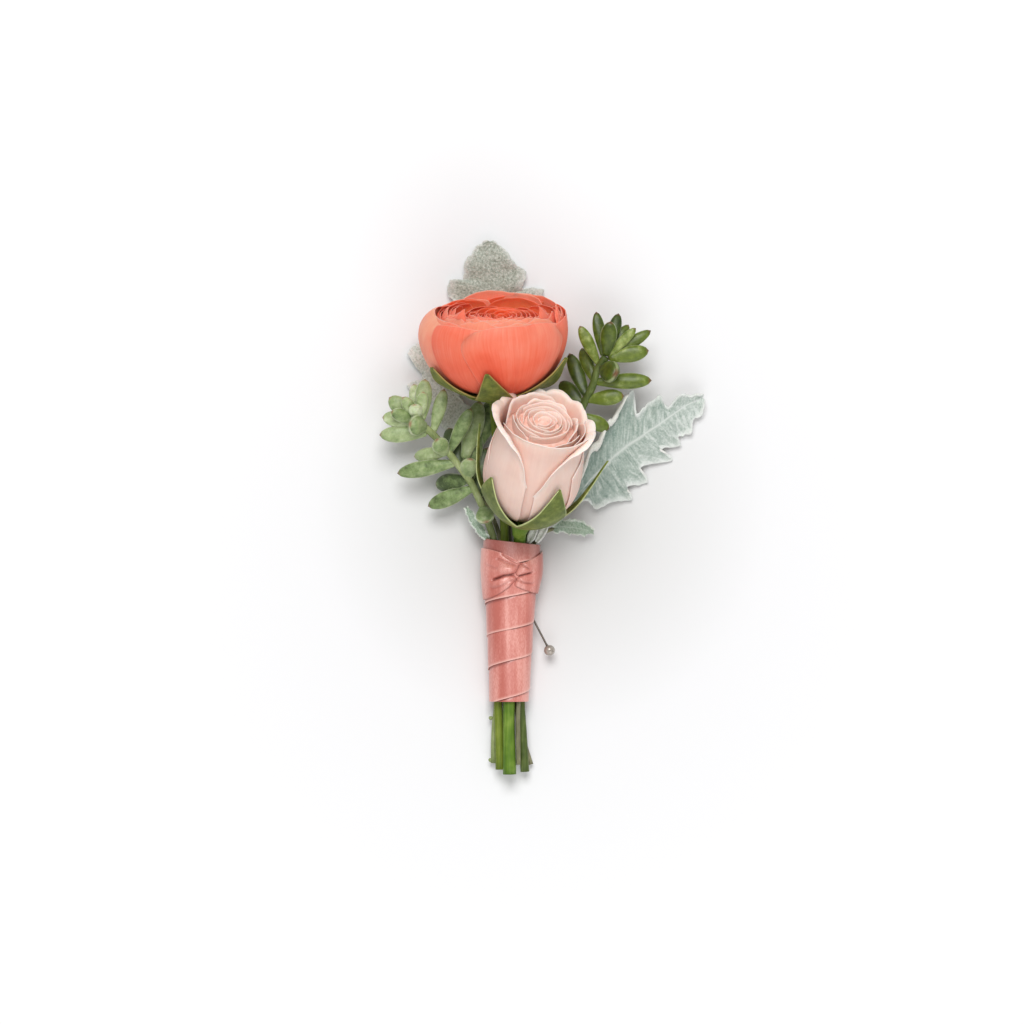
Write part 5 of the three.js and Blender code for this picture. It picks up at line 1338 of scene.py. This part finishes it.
# Pin: nickelled steel wire, drawn lengthwise, so its grey shine is streaked by lines of 0.1 mm
def steelMaterial():
    material, tree = newMaterial("nickelled steel wire")
    point = addNode(tree, "TexCoord")
    drawn = addNode(tree, "Mapping", {0: point[3], "Rotation": (0, 0, 0.48), "Scale": (1.0, 0.04, 1.0)})
    drawLines = addNode(tree, "TexNoise", {"Vector": drawn[0], "Scale": 9000.0, "Detail": 2.0})
    ramp = addNode(tree, "ValToRGB", {0: drawLines[0]}, [(0.3, "4a443e"), (0.7, "645d55")])
    rough = addNode(tree, "MapRange", {0: drawLines[0], 3: 0.22, 4: 0.4})
    setShader(tree, {"Base Color": ramp[0], "Roughness": rough[0], "Metallic": 1.0})
    return material


# Imitation pearl: a glass bead dipped in nacre lacquer, with a soft deep gloss and faint swirls of 1.5 mm
def pearlMaterial():
    material, tree = newMaterial("pearl lacquer bead")
    point = addNode(tree, "TexCoord")
    swirl = addNode(tree, "TexNoise", {"Vector": point[3], "Scale": 700.0, "Detail": 3.0, "Distortion": 1.5})
    ramp = addNode(tree, "ValToRGB", {0: swirl[0]}, [(0.3, "8b8076"), (0.5, "a79d92"), (0.7, "c4bdb3")])
    rough = addNode(tree, "MapRange", {0: swirl[0], 3: 0.26, 4: 0.34})
    setShader(tree, {"Base Color": ramp[0], "Roughness": rough[0], "IOR": 1.7, "Metallic": 0.35,
                     "Coat Weight": 1.0, "Coat Roughness": 0.26})
    return material


# A thin wire up to a collar in the bead's bore. Both profiles run up the pin's axis.
def buildPin():
    radius, head = pin["radius"], pin["headRadius"]
    wire, collar, bore = (radius * pin[name] for name in ("wireShare", "collarShare", "boreShare"))
    tip = Vector(pin["entry"]) - pinAxis * pin["inside"]
    length = (pearlPlace - tip).length - head
    shaft = bmesh.new()
    profile = [(0, 0), (wire * 0.12, 0.1), (wire * 0.5, 1.2), (wire * 0.9, 2.4), (wire, 3.2),
               (wire, length - 0.2), (collar, length + 0.05), (collar, length + 0.35), (0, length + 0.35)]
    addTurned(shaft, profile, 24, tip, pinAxis)
    makePiece("pinShaft", shaft, [steelMaterial()], ["pin_shaft"], "pin_steel")
    bead = bmesh.new()
    mouth = math.asin(bore / head)
    sides = [(0, -head * 0.72), (radius * 1.45, -head * 0.76), (bore, -head * math.cos(mouth) + 0.06)]
    sides += [(head * math.sin(a), -head * math.cos(a))
              for a in (mouth + (math.pi - mouth) * step / 28 for step in range(1, 28))]
    sides += [(0, head)]
    addTurned(bead, sides, 48, pearlPlace, pinAxis)
    makePiece("pinPearl", bead, [pearlMaterial()], ["pin_pearl"], "pearl")


buildPin()
print("pin made")


# Floor of pale paper with a painted shadow round the middle, lights and camera
def buildStudio():
    material, tree = newMaterial("pale studio floor, painted shadow near the middle")
    point = addNode(tree, "TexCoord")
    away = addNode(tree, "VectorMath", {0: point[3]}, operation="LENGTH")
    # The floor darkens towards the middle: a painted shadow
    ramp = addNode(tree, "ValToRGB", {0: away[1]}, studio["floor"])
    setShader(tree, {"Base Color": ramp[0], "Roughness": 0.9})
    bm = bmesh.new()
    bmesh.ops.create_grid(bm, x_segments=1, y_segments=1, size=studio["floorHalf"])
    mesh = bpy.data.meshes.new("floor")
    bm.to_mesh(mesh)
    bm.free()
    mesh.materials.append(material)
    floor = bpy.data.objects.new("floor", mesh)
    bpy.context.scene.collection.objects.link(floor)

    world = bpy.data.worlds.new("studio")
    world.use_nodes = True
    background = world.node_tree.nodes["Background"]
    background.inputs[0].default_value = (1.0, 1.0, 1.0, 1.0)
    background.inputs[1].default_value = studio["worldStrength"]
    bpy.context.scene.world = world
    for name, energy, size, spot in studio["lamps"]:
        light = bpy.data.lights.new(name, "AREA")
        light.energy = energy
        light.size = size
        lamp = bpy.data.objects.new(name, light)
        lamp.location = spot
        lamp.rotation_euler = (-Vector(spot)).to_track_quat("-Z", "Y").to_euler()
        bpy.context.scene.collection.objects.link(lamp)

    lens = bpy.data.cameras.new("camera")
    lens.lens = studio["focalLength"]
    lens.sensor_width = studio["sensor"]
    lens.clip_end = 10.0
    camera = bpy.data.objects.new("camera", lens)
    distance = studio["frameWidth"] * studio["focalLength"] / studio["sensor"]
    centre = studio["viewCentre"]
    camera.location = place((centre[0], centre[1], studio["sharpHeight"] + distance))
    bpy.context.scene.collection.objects.link(camera)
    bpy.context.scene.camera = camera
    bpy.context.scene.view_settings.view_transform = "Standard"


buildStudio()
print("studio made")
